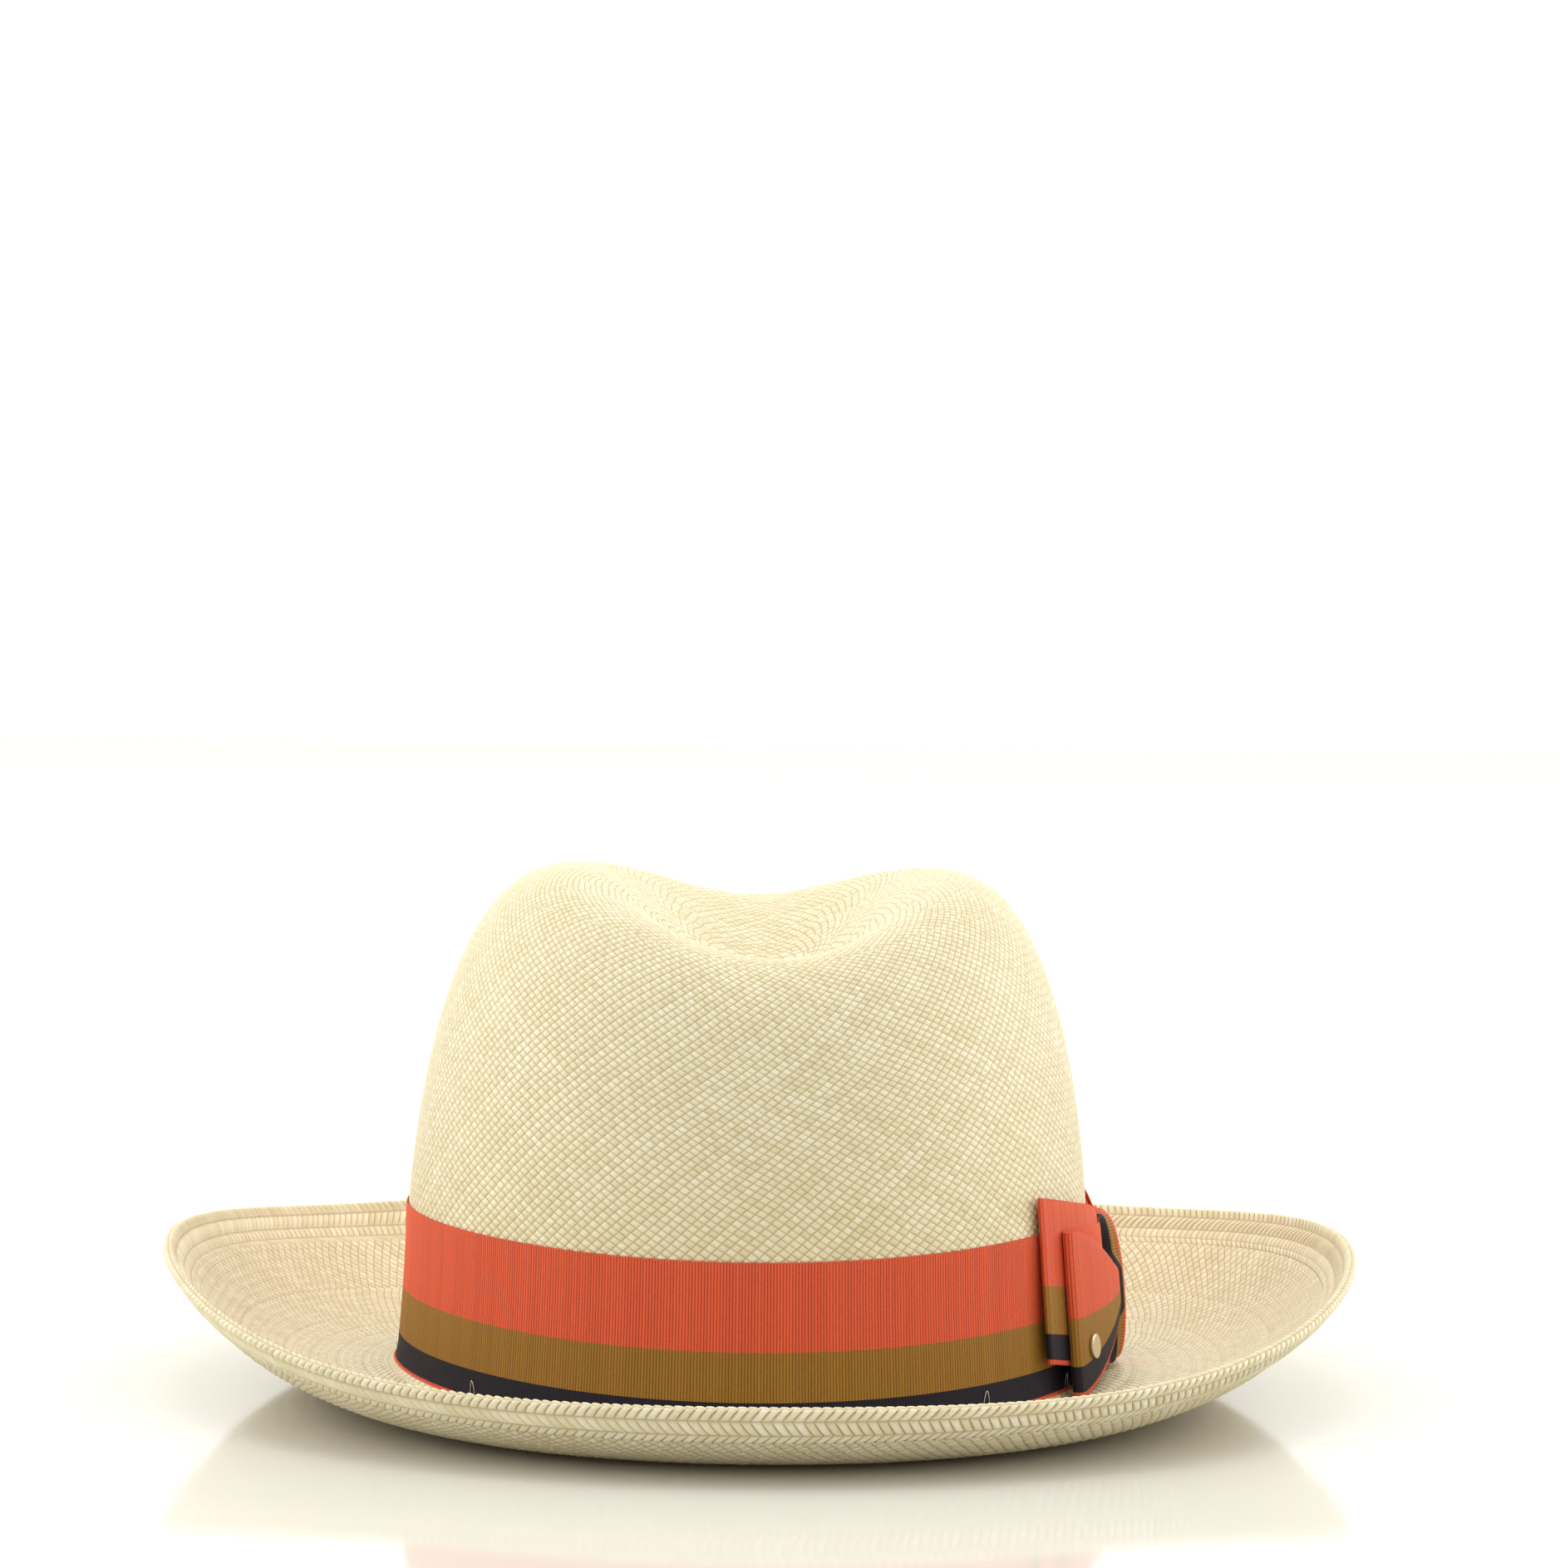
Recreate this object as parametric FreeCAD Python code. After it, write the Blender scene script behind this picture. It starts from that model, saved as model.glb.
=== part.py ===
import FreeCAD, Part
import math
import os

# A woven straw fedora with a centre-dent crown, an upswept brim, a striped grosgrain band with a side
# bow, a small metal badge on the bow and a leather sweatband inside. Millimetres. The origin is on the
# table, under the middle of the crown. -Y is the front, +X the wearer's left, where the bow is, +Z up.

Vector = FreeCAD.Vector

# ---- crown -------------------------------------------------------------------------------------
crown_half_width = 85.7      # outside of the straw just above the band, across the head
crown_half_length = 101.5    # the same, front to back
crown_foot_height = 40.0     # height where the dome's curve starts
crown_dome_height = 94.3     # from there to the top of the undented dome
crown_side_power = 5.8       # how square the crown's shoulder is
crown_top_power = 1.5
crown_lean = 0.9             # the blocked crown leans this far to +X at its top
crown_flare = 2.6            # how far the wall spreads between the dome's foot and the brim
crown_flare_power = 1.5

# ---- centre dent -------------------------------------------------------------------------------
dent_depth = 36.0
dent_middle_y = -25.0        # deepest point of the dent
dent_middle_x = 2.0
dent_reach_front = 51.0      # length over which it fades to the front and to the back
dent_reach_back = 78.5
dent_half_width = 31.3
dent_taper = 0.14            # how much narrower it gets towards the back
dent_fade_low = 50.0         # the dent dies out on the wall between these heights
dent_fade_high = 100.0

# ---- straw and brim ----------------------------------------------------------------------------
straw_thickness = 1.3
brim_width = 61.8            # from the foot of the crown's wall to the edge
brim_side_shift = 3.3        # the brim is this much wider on the bow's side and narrower opposite
brim_fillet = 3.0            # hollow corner between crown and brim
brim_side_lift = 3.4         # how much higher the corner is at the sides than at front and back
brim_edge_height = 29.5      # mean height of the edge, then its waves around the hat
brim_edge_back = 8.0
brim_edge_sides = 5.6
brim_edge_corners = 2.6
brim_curl = 3.8              # power of the brim's rise, and its waves around the hat
brim_curl_sides = -1.1
brim_curl_corners = 0.3
brim_braid_width = 5.0       # the finishing braid along the edge
brim_braid_thickness = 2.1
brim_rim_swell = 0.6         # how far the rounded rim stands past the edge, as a share of the braid

# ---- striped ribbon ----------------------------------------------------------------------------
ribbon_thickness = 0.45
ribbon_width = 39.2
ribbon_gap = 0.15            # air between one layer of ribbon and the next
band_gap = 0.25              # air between the straw and the band
band_top_height = 43.0
band_side_lift = 1.7         # the band's top is this much higher at the sides, lower at front and back
band_joint_gap = 1.2         # where the band's two ends meet, under the knot
band_low_steps = (0.0, 0.8, 2.5, 8.0)   # where its section is taken near the hollow corner

# ---- bow, measured along the band from the hat's side ------------------------------------------
bow_place = 8.0              # middle of the knot, forward of the widest point of the hat
base_loop_half_length = 60.0
base_loop_slope = 0.14       # each half of the base loop climbs away from the knot
base_loop_turn = 4.0         # how gently its two slopes meet under the knot
base_loop_depth = 1.55       # outside to outside
top_loop_half_length = 51.0
top_loop_depth_end = 2.9     # at the folds
top_loop_depth_knot = 4.3    # beside the knot
top_loop_pinch_outer = 9.0   # height of the gathered outer layer under the knot
top_loop_flat_end = 8.0      # full-height stretch beside each fold
loop_pinch = 33.0            # height of the loops' other layers where the knot gathers them
base_loop_pinch_reach = 25.0 # distance from the knot over which the base loop opens out again
knot_half_width_middle = 5.5
knot_half_width_end = 10.5
knot_turn = 1.2              # depth taken by its turns at top and bottom
knot_air = 0.45              # room between the knot and the loops it holds
knot_overhang = 1.9          # how far the knot stands past the loops it gathers, up and down
bow_lean = 0.088             # the bow stands this much further out for each millimetre down

# ---- badge on the front wing of the bow --------------------------------------------------------
badge_radius = 3.0
badge_thickness = 0.7
badge_place = 50.0           # along the band, as for the bow
badge_height = 15.5
badge_post_radius = 0.5
badge_hole_clearance = 0.10
badge_fit_clearance = 0.04   # post in the clutch's bore
badge_clutch_radius = 2.4
badge_clutch_thickness = 0.9
badge_air = 0.15             # between badge, ribbon and clutch
badge_post_tip = 0.2         # post past the clutch

# ---- sweatband ---------------------------------------------------------------------------------
leather_thickness = 1.0
leather_top_height = 41.0
leather_gap = 0.8            # between the straw and the leather
leather_low_rise = 4.6       # its lower edge above the corner between crown and brim
leather_joint_gap = 0.8      # butt joint at the back
reed_radius = 0.7
tape_thickness = 0.45
tape_top_height = 13.0
tape_gap = 0.15              # between the tape and what it lies on
stitch_radius = 0.25
stitch_count = 96
stitch_length = 3.4
stitch_slant = 0.35          # rise and run of half a stitch, as a share of its length
stitch_row_rise = 2.0        # height of the stitch row above the leather's lower edge
tag_width = 36.0
tag_height = 16.0
tag_thickness = 0.2
tag_rise = 3.0               # its lower edge above the tape's upper one
tag_angle = 62.0             # degrees around from +X
seam_bow_half_length = 11.0
seam_bow_height = 9.0
seam_bow_layer = 0.4
seam_bow_depth = 1.6         # between the middles of its two layers
seam_bow_waist = 0.45        # share of its height left under the wrap
seam_wrap_half_width = 2.4
seam_wrap_room = 0.2         # share of the bow's half height left free inside the wrap
seam_wrap_corner = 0.5
seam_bow_rise = 14.0         # middle of the small bow above the leather's lower edge

# ---- tacks that hold the band down -------------------------------------------------------------
tack_radius = 0.15
tack_angles = (-118, -52, -30, 20, 60, 100, 140, 180, 220)
tack_rise = 2.2              # its upper and lower ends above the band's lower edge
tack_foot = 0.3
tack_turn = 0.012            # angle between its two ends, in radians

around = 72                  # points around the hat on every ring


# ---- solids made from rings of points ----------------------------------------------------------
def sharpened(ring):
    """Moves each control point of an endless ring outwards so that the curve passes through it."""
    count = len(ring)
    return [ring[i] - (ring[i - 1] - ring[i] * 2 + ring[(i + 1) % count]) * (1 / 6) for i in range(count)]


def endless_knots(count):
    return [1] * (count + 1), list(range(count + 1))


def ended_knots(count):
    return [4] + [1] * (count - 4) + [4], list(range(count - 2))


def knot_parts(knots, pieces):
    """Shares a row of knots out between a few neighbouring pieces: (start, end) of each."""
    low = knots[0]
    high = knots[-1]
    cuts = [round(low + (high - low) * i / pieces) for i in range(pieces + 1)]
    return list(zip(cuts[:-1], cuts[1:]))


def solid_from_surface(surface, u_knots, v_knots, pieces):
    """A solid inside one smooth surface, whose skin is divided into a grid of faces."""
    faces = []
    for u_start, u_end in knot_parts(u_knots, pieces[0]):
        for v_start, v_end in knot_parts(v_knots, pieces[1]):
            patch = surface.copy()
            patch.segment(u_start, u_end, v_start, v_end)
            faces.append(patch.toShape())
    skin = Part.makeCompound(faces)
    skin.sewShape()
    solid = Part.Solid(skin.Shells[0])
    if solid.Volume < 0:
        solid.reverse()
    return solid


def capped_solid(rings, pieces=(2, 8)):
    """One smooth closed skin over a stack of endless rings; the first and last close to a point."""
    poles = [list(column) for column in zip(*rings)]
    u_mults, u_knots = endless_knots(len(poles))
    v_mults, v_knots = ended_knots(len(rings))
    surface = Part.BSplineSurface()
    surface.buildFromPolesMultsKnots(poles, u_mults, v_mults, u_knots, v_knots, True, False, 3, 3)
    return solid_from_surface(surface, u_knots, v_knots, pieces)


def endless_solid(rings, pieces=(2, 8)):
    """The same over rings that follow each other round a closed path."""
    poles = [list(column) for column in zip(*rings)]
    u_mults, u_knots = endless_knots(len(poles))
    v_mults, v_knots = endless_knots(len(rings))
    surface = Part.BSplineSurface()
    surface.buildFromPolesMultsKnots(poles, u_mults, v_mults, u_knots, v_knots, True, True, 3, 3)
    return solid_from_surface(surface, u_knots, v_knots, pieces)


def middle_of(ring):
    total = Vector()
    for point in ring:
        total += point
    return total * (1 / len(ring))


def with_ends(rings):
    """Closes the first and last ring to their middles, keeping the ends square."""
    first = [middle_of(rings[0])] * len(rings[0])
    last = [middle_of(rings[-1])] * len(rings[-1])
    return [first, rings[0]] + rings + [rings[-1], last]


def strip_section(low_inner, low_outer, top_outer, top_inner, steps=4):
    """A flat ring of points around a ribbon's cross-section, from its four corners."""
    ring = []
    for i in range(steps + 1):
        ring.append(low_outer + (top_outer - low_outer) * (i / steps))
    for i in range(steps + 1):
        ring.append(top_inner + (low_inner - top_inner) * (i / steps))
    return ring


def steps_between(low, high, count):
    return [low + (high - low) * i / count for i in range(count + 1)]


def full_turn(count):
    return [2 * math.pi * i / count for i in range(count)]


def smooth_step(share):
    """Runs from 0 to 1 with a gentle start and end."""
    share = min(max(share, 0.0), 1.0)
    return share * share * (3 - 2 * share)


# ---- the hat's own surface ---------------------------------------------------------------------
def corner_height(angle):
    """Height of the outer corner between crown and brim: flat on the table at front and back."""
    return straw_thickness + brim_side_lift * math.cos(angle) ** 4


def wall_spread(angle, height):
    """How far the wall stands outside the dome's foot at a height."""
    fall = max(crown_foot_height - height, 0.0) / crown_foot_height
    spread = crown_flare * fall ** crown_flare_power
    rise = height - corner_height(angle)
    if rise < brim_fillet:
        drop = brim_fillet - max(rise, 0.0)
        spread += brim_fillet - math.sqrt(brim_fillet ** 2 - drop ** 2)
    return spread


def wall_point(angle, height, offset=0.0):
    """A point on the crown's wall at a height, moved outwards by offset."""
    spread = wall_spread(angle, height) + offset
    x = (crown_half_width + spread) * math.cos(angle)
    y = (crown_half_length + spread) * math.sin(angle)
    return Vector(x, y, height)


def wall_normal(angle):
    normal = Vector(math.cos(angle) / crown_half_width, math.sin(angle) / crown_half_length, 0)
    return normal.normalize()


def dent_at(x, y, dome_height):
    reach = dent_reach_front if y < dent_middle_y else dent_reach_back
    along = math.exp(-((y - dent_middle_y) / reach) ** 2)
    half_width = dent_half_width * (1 - dent_taper * (y - dent_middle_y) / 100)
    across = math.exp(-((x - dent_middle_x) / half_width) ** 2)
    fade = (dome_height - dent_fade_low) / (dent_fade_high - dent_fade_low)
    return dent_depth * along * across * smooth_step(fade)


def dome_point(angle, share):
    """A point on the dented dome; share runs from 0 at the middle to 1 at the wall's foot."""
    height = crown_foot_height + crown_dome_height * (1 - share ** crown_side_power) ** (1 / crown_top_power)
    x = crown_half_width * share * math.cos(angle)
    y = crown_half_length * share * math.sin(angle)
    lean = crown_lean * (height - crown_foot_height) / crown_dome_height
    return Vector(x + lean, y, height - dent_at(x, y, height))


def dome_share(height):
    rise = (height - crown_foot_height) / crown_dome_height
    return (1 - rise ** crown_top_power) ** (1 / crown_side_power)


def brim_reach(angle):
    """Distance from the foot of the wall to the brim's edge."""
    return brim_width + brim_side_shift * math.cos(angle)


def brim_point(angle, distance):
    """A point on the brim's upper face, distance out from the foot of the wall."""
    corner = corner_height(angle)
    edge = (brim_edge_height + brim_edge_back * math.sin(angle)
            + brim_edge_sides * math.cos(2 * angle) + brim_edge_corners * math.cos(4 * angle))
    power = brim_curl + brim_curl_sides * math.cos(2 * angle) + brim_curl_corners * math.cos(4 * angle)
    share = (distance - brim_fillet) / (brim_reach(angle) - brim_fillet)
    height = corner + (edge - corner) * share ** power
    foot = wall_spread(angle, corner + brim_fillet) + distance
    x = (crown_half_width + foot) * math.cos(angle)
    y = (crown_half_length + foot) * math.sin(angle)
    return Vector(x, y, height)


def straw_profile(angle):
    """The outer face in one direction, from the middle of the crown to the brim's edge."""
    line = [dome_point(angle, share) for share in (0.0, 0.02, 0.05)]
    line += [dome_point(angle, share) for share in steps_between(0.1, 0.8, 11)]
    shoulder = crown_foot_height + crown_dome_height * 0.80
    lower = [dome_share(height) for height in steps_between(shoulder, crown_foot_height, 12)]
    line += [dome_point(angle, share) for share in lower]
    fillet_top = corner_height(angle) + brim_fillet
    line += [wall_point(angle, height) for height in steps_between(crown_foot_height, fillet_top, 7)[1:]]
    for turn in (22.5, 45, 67.5):
        rise = brim_fillet * (1 - math.sin(math.radians(turn)))
        line.append(wall_point(angle, corner_height(angle) + rise))
    edge = brim_reach(angle)
    plain_end = edge - 1.8 * brim_braid_width
    braid_start = edge - 1.3 * brim_braid_width
    line += [brim_point(angle, distance) for distance in steps_between(brim_fillet, plain_end, 9)]
    line += [brim_point(angle, distance) for distance in steps_between(braid_start, edge, 4)]
    return line


def straw_body():
    """Crown and brim, woven in one piece: an outer face, a rounded edge and an inner face."""
    angles = full_turn(around)
    lines = [straw_profile(angle) for angle in angles]
    rows = len(lines[0])
    inner = []
    rim = []
    for i in range(around):
        before = lines[i - 1]
        line = lines[i]
        after = lines[(i + 1) % around]
        inner_line = [line[0] - Vector(0, 0, straw_thickness)]
        for j in range(1, rows):
            along = line[min(j + 1, rows - 1)] - line[j - 1]
            normal = (after[j] - before[j]).cross(along) * -1
            normal.normalize()
            to_edge = (line[-1] - line[j]).Length
            swell = max(1 - to_edge / brim_braid_width, 0.0) if j > rows // 2 else 0.0
            wall = straw_thickness + (brim_braid_thickness - straw_thickness) * min(2 * swell, 1.0)
            inner_line.append(line[j] - normal * wall)
        outward = (line[-1] - line[-2]).normalize()
        rim.append((line[-1] + inner_line[-1]) * 0.5 + outward * (brim_braid_thickness * brim_rim_swell))
        inner.append(inner_line)
    rings = [[line[j] for line in lines] for j in range(rows)]
    rings.append(rim)
    rings += [[line[j] for line in inner] for j in reversed(range(rows))]
    return capped_solid([sharpened(ring) for ring in rings], pieces=(6, 14))


# ---- ribbon band -------------------------------------------------------------------------------
def band_top(angle):
    return band_top_height + band_side_lift * math.cos(2 * angle)


def band_outside(angle, height):
    """A point on the outer face of the band."""
    return wall_point(angle, height, band_gap + ribbon_thickness)


def arc_angle(place):
    """Angle around the hat of a place along the band, counted forward from the widest point."""
    return -place / crown_half_length


def hat_band():
    """One strip round the crown whose ends meet under the knot."""
    half_gap = band_joint_gap / 2 / crown_half_length
    start = arc_angle(bow_place) + half_gap
    end = arc_angle(bow_place) + 2 * math.pi - half_gap
    rings = []
    for angle in steps_between(start, end, around):
        top = band_top(angle)
        low = top - ribbon_width
        heights = [low + rise for rise in band_low_steps]
        heights += steps_between(heights[-1], top, 4)[1:]
        outer = [band_outside(angle, height) for height in heights]
        inner = [wall_point(angle, height, band_gap) for height in reversed(heights)]
        rings.append(outer + inner)
    return capped_solid(with_ends(rings))


# ---- bow ---------------------------------------------------------------------------------------
def bow_point(place, height, depth):
    """A point of the bow: along the band, up, and out from a straight face that clears the band."""
    angle = arc_angle(place)
    stand_off = bow_lean * (band_top_height + band_side_lift - height)
    base = wall_point(angle, crown_foot_height, band_gap + ribbon_thickness + depth + stand_off)
    return Vector(base.x, base.y, height)


def closed_ribbon(path, thickness, point_at, steps=4):
    """Carries a ribbon's cross-section round a closed path of (along, depth) pairs."""
    rings = []
    count = len(path)
    for i in range(count):
        before = path[i - 1]
        after = path[(i + 1) % count]
        run = (after[0] - before[0], after[1] - before[1])
        half = thickness / 2 / math.hypot(run[0], run[1])
        side = (-run[1] * half, run[0] * half)
        inner = (path[i][0] + side[0], path[i][1] + side[1])
        outer = (path[i][0] - side[0], path[i][1] - side[1])
        rings.append(strip_section(
            point_at(i, inner, -1), point_at(i, outer, -1), point_at(i, outer, 1), point_at(i, inner, 1), steps))
    return endless_solid(rings)


def loop_path(half_length, inner_depth, outer_depth_at, steps=16):
    """The centre line of a flat loop: along its inner layer, over a fold and back along the outer one."""
    end_gap = outer_depth_at(half_length) - inner_depth
    radius = end_gap / 2
    straight = half_length - radius
    bends = [math.radians(turn) for turn in (45, 90, 135)]
    path = [(along, inner_depth) for along in steps_between(straight, -straight, steps)]
    for bend in bends:
        path.append((-straight - radius * math.sin(bend), inner_depth + radius * (1 - math.cos(bend))))
    path += [(along, outer_depth_at(abs(along))) for along in steps_between(-straight, straight, steps)]
    for bend in bends:
        path.append((straight + radius * math.sin(bend), inner_depth + radius * (1 + math.cos(bend))))
    return path


base_loop_first = 2 * ribbon_gap + ribbon_thickness
top_loop_first = base_loop_first + base_loop_depth + ribbon_gap
knot_front = top_loop_first + top_loop_depth_knot + ribbon_gap
bow_middle = band_top_height + band_side_lift - ribbon_width / 2


def bow_base_loop():
    """The flat loop nearest the band; both halves climb a little away from the knot."""
    def outer_depth(along):
        return base_loop_first + base_loop_depth - ribbon_thickness / 2

    def point_at(i, spot, side):
        away = math.sqrt(spot[0] ** 2 + base_loop_turn ** 2) - base_loop_turn
        share = smooth_step(abs(spot[0]) / base_loop_pinch_reach)
        tall = loop_pinch + (ribbon_width - loop_pinch) * share
        height = bow_middle + base_loop_slope * away + side * tall / 2
        return bow_point(bow_place + spot[0], height, spot[1])

    path = loop_path(base_loop_half_length, base_loop_first + ribbon_thickness / 2, outer_depth)
    return closed_ribbon(path, ribbon_thickness, point_at)


def top_loop_depth(along):
    """How deep the front loop is, outside to outside, at a distance from the knot."""
    share = min(along / top_loop_half_length, 1.0)
    return top_loop_depth_knot + (top_loop_depth_end - top_loop_depth_knot) * share


def top_loop_height(along, outer_share):
    """How tall the front loop's ribbon is: gathered beside the knot, full at the folds."""
    reach = top_loop_half_length - knot_half_width_end - top_loop_flat_end
    share = smooth_step((abs(along) - knot_half_width_end) / reach)
    narrow = loop_pinch + (top_loop_pinch_outer - loop_pinch) * outer_share
    return narrow + (ribbon_width - narrow) * share


def bow_top_loop():
    """The loop in front, gathered by the knot; the badge's post goes through its outer layer."""
    inner_depth = top_loop_first + ribbon_thickness / 2

    def outer_depth(along):
        return top_loop_first + top_loop_depth(along) - ribbon_thickness / 2

    def point_at(i, spot, side):
        outer_share = (path[i][1] - inner_depth) / (outer_depth(abs(path[i][0])) - inner_depth)
        tall = top_loop_height(spot[0], min(max(outer_share, 0.0), 1.0))
        return bow_point(bow_place + spot[0], bow_middle - band_drop(spot[0]) + side * tall / 2, spot[1])

    path = loop_path(top_loop_half_length, inner_depth, outer_depth)
    loop = closed_ribbon(path, ribbon_thickness, point_at)
    reach = ribbon_thickness * 2
    return loop.cut(badge_cylinder(badge_post_radius + badge_hole_clearance, -reach, reach))


def band_drop(along):
    """How much lower the band runs here than at the side of the hat."""
    return band_top_height + band_side_lift - band_top(arc_angle(bow_place + along))


def bow_knot():
    """A gathered strip round the middle of the bow, flared at top and bottom."""
    half_height = loop_pinch / 2 + knot_overhang
    back = ribbon_gap + ribbon_thickness / 2
    front = knot_front + knot_air
    over = back + knot_turn
    flat = half_height - knot_turn / 2
    path = [(rise, back) for rise in steps_between(-flat, flat, 10)]
    back_count = len(path)
    for degrees in steps_between(85, -85, 18):
        turn = math.radians(degrees)
        path.append((half_height * math.sin(turn), over + (front - over) * math.cos(turn) ** 0.5))

    def point_at(i, spot, side):
        spread = abs(path[i][0]) / half_height
        half_width = knot_half_width_middle + (knot_half_width_end - knot_half_width_middle) * spread ** 2
        if i < back_count:
            half_width = knot_half_width_middle
        return bow_point(bow_place + side * half_width, bow_middle + spot[0], spot[1])

    return closed_ribbon(path, ribbon_thickness, point_at, 8)


# ---- badge -------------------------------------------------------------------------------------
def badge_cylinder(radius, start, end):
    """A cylinder along the badge's post, measured outwards from the wing's outer face."""
    depth = top_loop_first + top_loop_depth(badge_place - bow_place)
    point = bow_point(badge_place, badge_height, depth)
    out = wall_normal(arc_angle(badge_place)) + Vector(0, 0, bow_lean)
    out.normalize()
    return Part.makeCylinder(radius, end - start, point + out * start, out)


def badge():
    """A plain domed metal disc with its post."""
    disc = badge_cylinder(badge_radius, badge_air, badge_air + badge_thickness)
    circles = [edge for edge in disc.Edges if edge.isClosed()]
    rim = max(circles, key=lambda edge: edge.CenterOfMass.x)
    disc = disc.makeFillet(badge_thickness * 0.4, [rim])
    post_length = 2 * badge_air + ribbon_thickness + badge_clutch_thickness + badge_post_tip
    post = badge_cylinder(badge_post_radius, -post_length, badge_air + badge_thickness / 2)
    return disc.fuse(post)


def badge_clutch():
    """The push-on disc that holds the post inside the loop."""
    end = -(ribbon_thickness + badge_air)
    start = end - badge_clutch_thickness
    disc = badge_cylinder(badge_clutch_radius, start, end)
    bore = badge_cylinder(badge_post_radius + badge_fit_clearance, start - 1, end + 1)
    return disc.cut(bore)


# ---- sweatband ---------------------------------------------------------------------------------
def leather_low(angle):
    return corner_height(angle) + leather_low_rise


def leather_offset():
    return -(straw_thickness + leather_gap)


def sweatband():
    """A leather strip round the inside, its ends butted at the back."""
    half_gap = leather_joint_gap / 2 / crown_half_length
    rings = []
    for angle in steps_between(math.pi / 2 + half_gap, math.pi * 2.5 - half_gap, around):
        heights = steps_between(leather_low(angle), leather_top_height, 5)
        outer = [wall_point(angle, height, leather_offset()) for height in heights]
        inside = leather_offset() - leather_thickness
        inner = [wall_point(angle, height, inside) for height in reversed(heights)]
        rings.append(outer + inner)
    return capped_solid(with_ends(rings))


def reed_centre(angle):
    """The reed lies just under the leather's lower edge."""
    height = leather_low(angle) - reed_radius - tape_thickness - 2 * tape_gap
    offset = leather_offset() - leather_thickness / 2
    return wall_point(angle, leather_low(angle), offset) - Vector(0, 0, leather_low(angle) - height)


def sweatband_reed():
    """A springy rod that holds the sweatband's edge open."""
    rings = []
    for angle in full_turn(around):
        centre = reed_centre(angle)
        out = wall_normal(angle)
        ring = []
        for turn in full_turn(10):
            up = Vector(0, 0, reed_radius * math.sin(turn))
            ring.append(centre + out * (reed_radius * math.cos(turn)) + up)
        rings.append(ring)
    return endless_solid(rings)


def reed_tape():
    """A strip folded round the reed, with a flange between the straw and the leather."""
    fold = reed_radius + tape_gap
    up = Vector(0, 0, 1)
    rings = []
    for angle in full_turn(around):
        centre = reed_centre(angle)
        out = wall_normal(angle)
        outer_line = []
        inner_line = []
        for height in (tape_top_height, tape_top_height - 3, centre.z + 2):
            inner_line.append(wall_point(angle, height, leather_offset() + tape_gap))
            outer_line.append(wall_point(angle, height, leather_offset() + tape_gap + tape_thickness))
        for degrees in (0, -45, -90, -135, -180, -215):
            bend = math.radians(degrees)
            direction = out * math.cos(bend) + up * math.sin(bend)
            inner_line.append(centre + direction * fold)
            outer_line.append(centre + direction * (fold + tape_thickness))
        rings.append(outer_line + list(reversed(inner_line)))
    return endless_solid(rings)


def rod(start, end, radius):
    run = end - start
    return Part.makeCylinder(radius, run.Length, start, run)


def sweatband_stitches():
    """The row of slanted stitches that joins the leather to the tape behind it."""
    stitches = []
    for i in range(stitch_count):
        angle = 2 * math.pi * (i + 0.5) / stitch_count
        offset = leather_offset() - leather_thickness
        low = leather_low(angle) + stitch_row_rise
        rise = stitch_length * stitch_slant
        half_turn = rise / crown_half_length
        start = wall_point(angle - half_turn, low - rise, offset)
        end = wall_point(angle + half_turn, low + rise, offset)
        stitches.append(rod(start, end, stitch_radius))
    return Part.makeCompound(stitches)


def size_tag():
    """A blank paper tag tucked between the leather and the straw."""
    offset = -(straw_thickness + (leather_gap - tag_thickness) / 2)
    half_turn = tag_width / 2 / crown_half_length
    middle = math.radians(tag_angle)
    low = tape_top_height + tag_rise
    rings = []
    for angle in steps_between(middle - half_turn, middle + half_turn, 10):
        heights = steps_between(low, low + tag_height, 3)
        outer = [wall_point(angle, height, offset) for height in heights]
        inner = [wall_point(angle, height, offset - tag_thickness) for height in reversed(heights)]
        rings.append(outer + inner)
    return capped_solid(with_ends(rings))


def seam_point(along, height, depth):
    """A point in front of the leather's inner face at the back of the hat."""
    angle = math.pi / 2 + along / crown_half_width
    return wall_point(angle, height, leather_offset() - leather_thickness - depth)


def seam_middle():
    return leather_low(math.pi / 2) + seam_bow_rise


def seam_bow():
    """The small flat bow that covers the leather's joint."""
    inner_depth = 2 * ribbon_gap + 1.5 * seam_bow_layer

    def outer_depth(along):
        return inner_depth + seam_bow_depth

    def point_at(i, spot, side):
        waist = seam_bow_waist + (1 - seam_bow_waist) * min(abs(spot[0]) / (seam_bow_half_length * 0.8), 1.0)
        return seam_point(spot[0], seam_middle() + side * seam_bow_height / 2 * waist, spot[1])

    path = loop_path(seam_bow_half_length, inner_depth, outer_depth, 10)
    return closed_ribbon(path, seam_bow_layer, point_at, 3)


def seam_bow_wrap():
    """The narrow ribbon round the middle of the small bow."""
    back = ribbon_gap + seam_bow_layer / 2
    front = 3 * ribbon_gap + 2.5 * seam_bow_layer + seam_bow_depth
    half_height = seam_bow_height / 2 * (seam_bow_waist + seam_wrap_room) + ribbon_gap + seam_bow_layer
    corner = seam_wrap_corner
    path = [(rise, back) for rise in steps_between(-half_height + corner, half_height - corner, 6)]
    path += [(half_height, depth) for depth in steps_between(back + corner, front - corner, 4)]
    path += [(rise, front) for rise in steps_between(half_height - corner, -half_height + corner, 6)]
    path += [(-half_height, depth) for depth in steps_between(front - corner, back + corner, 4)]

    def point_at(i, spot, side):
        return seam_point(side * seam_wrap_half_width, seam_middle() + spot[0], spot[1])

    return closed_ribbon(path, seam_bow_layer, point_at, 3)


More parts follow.
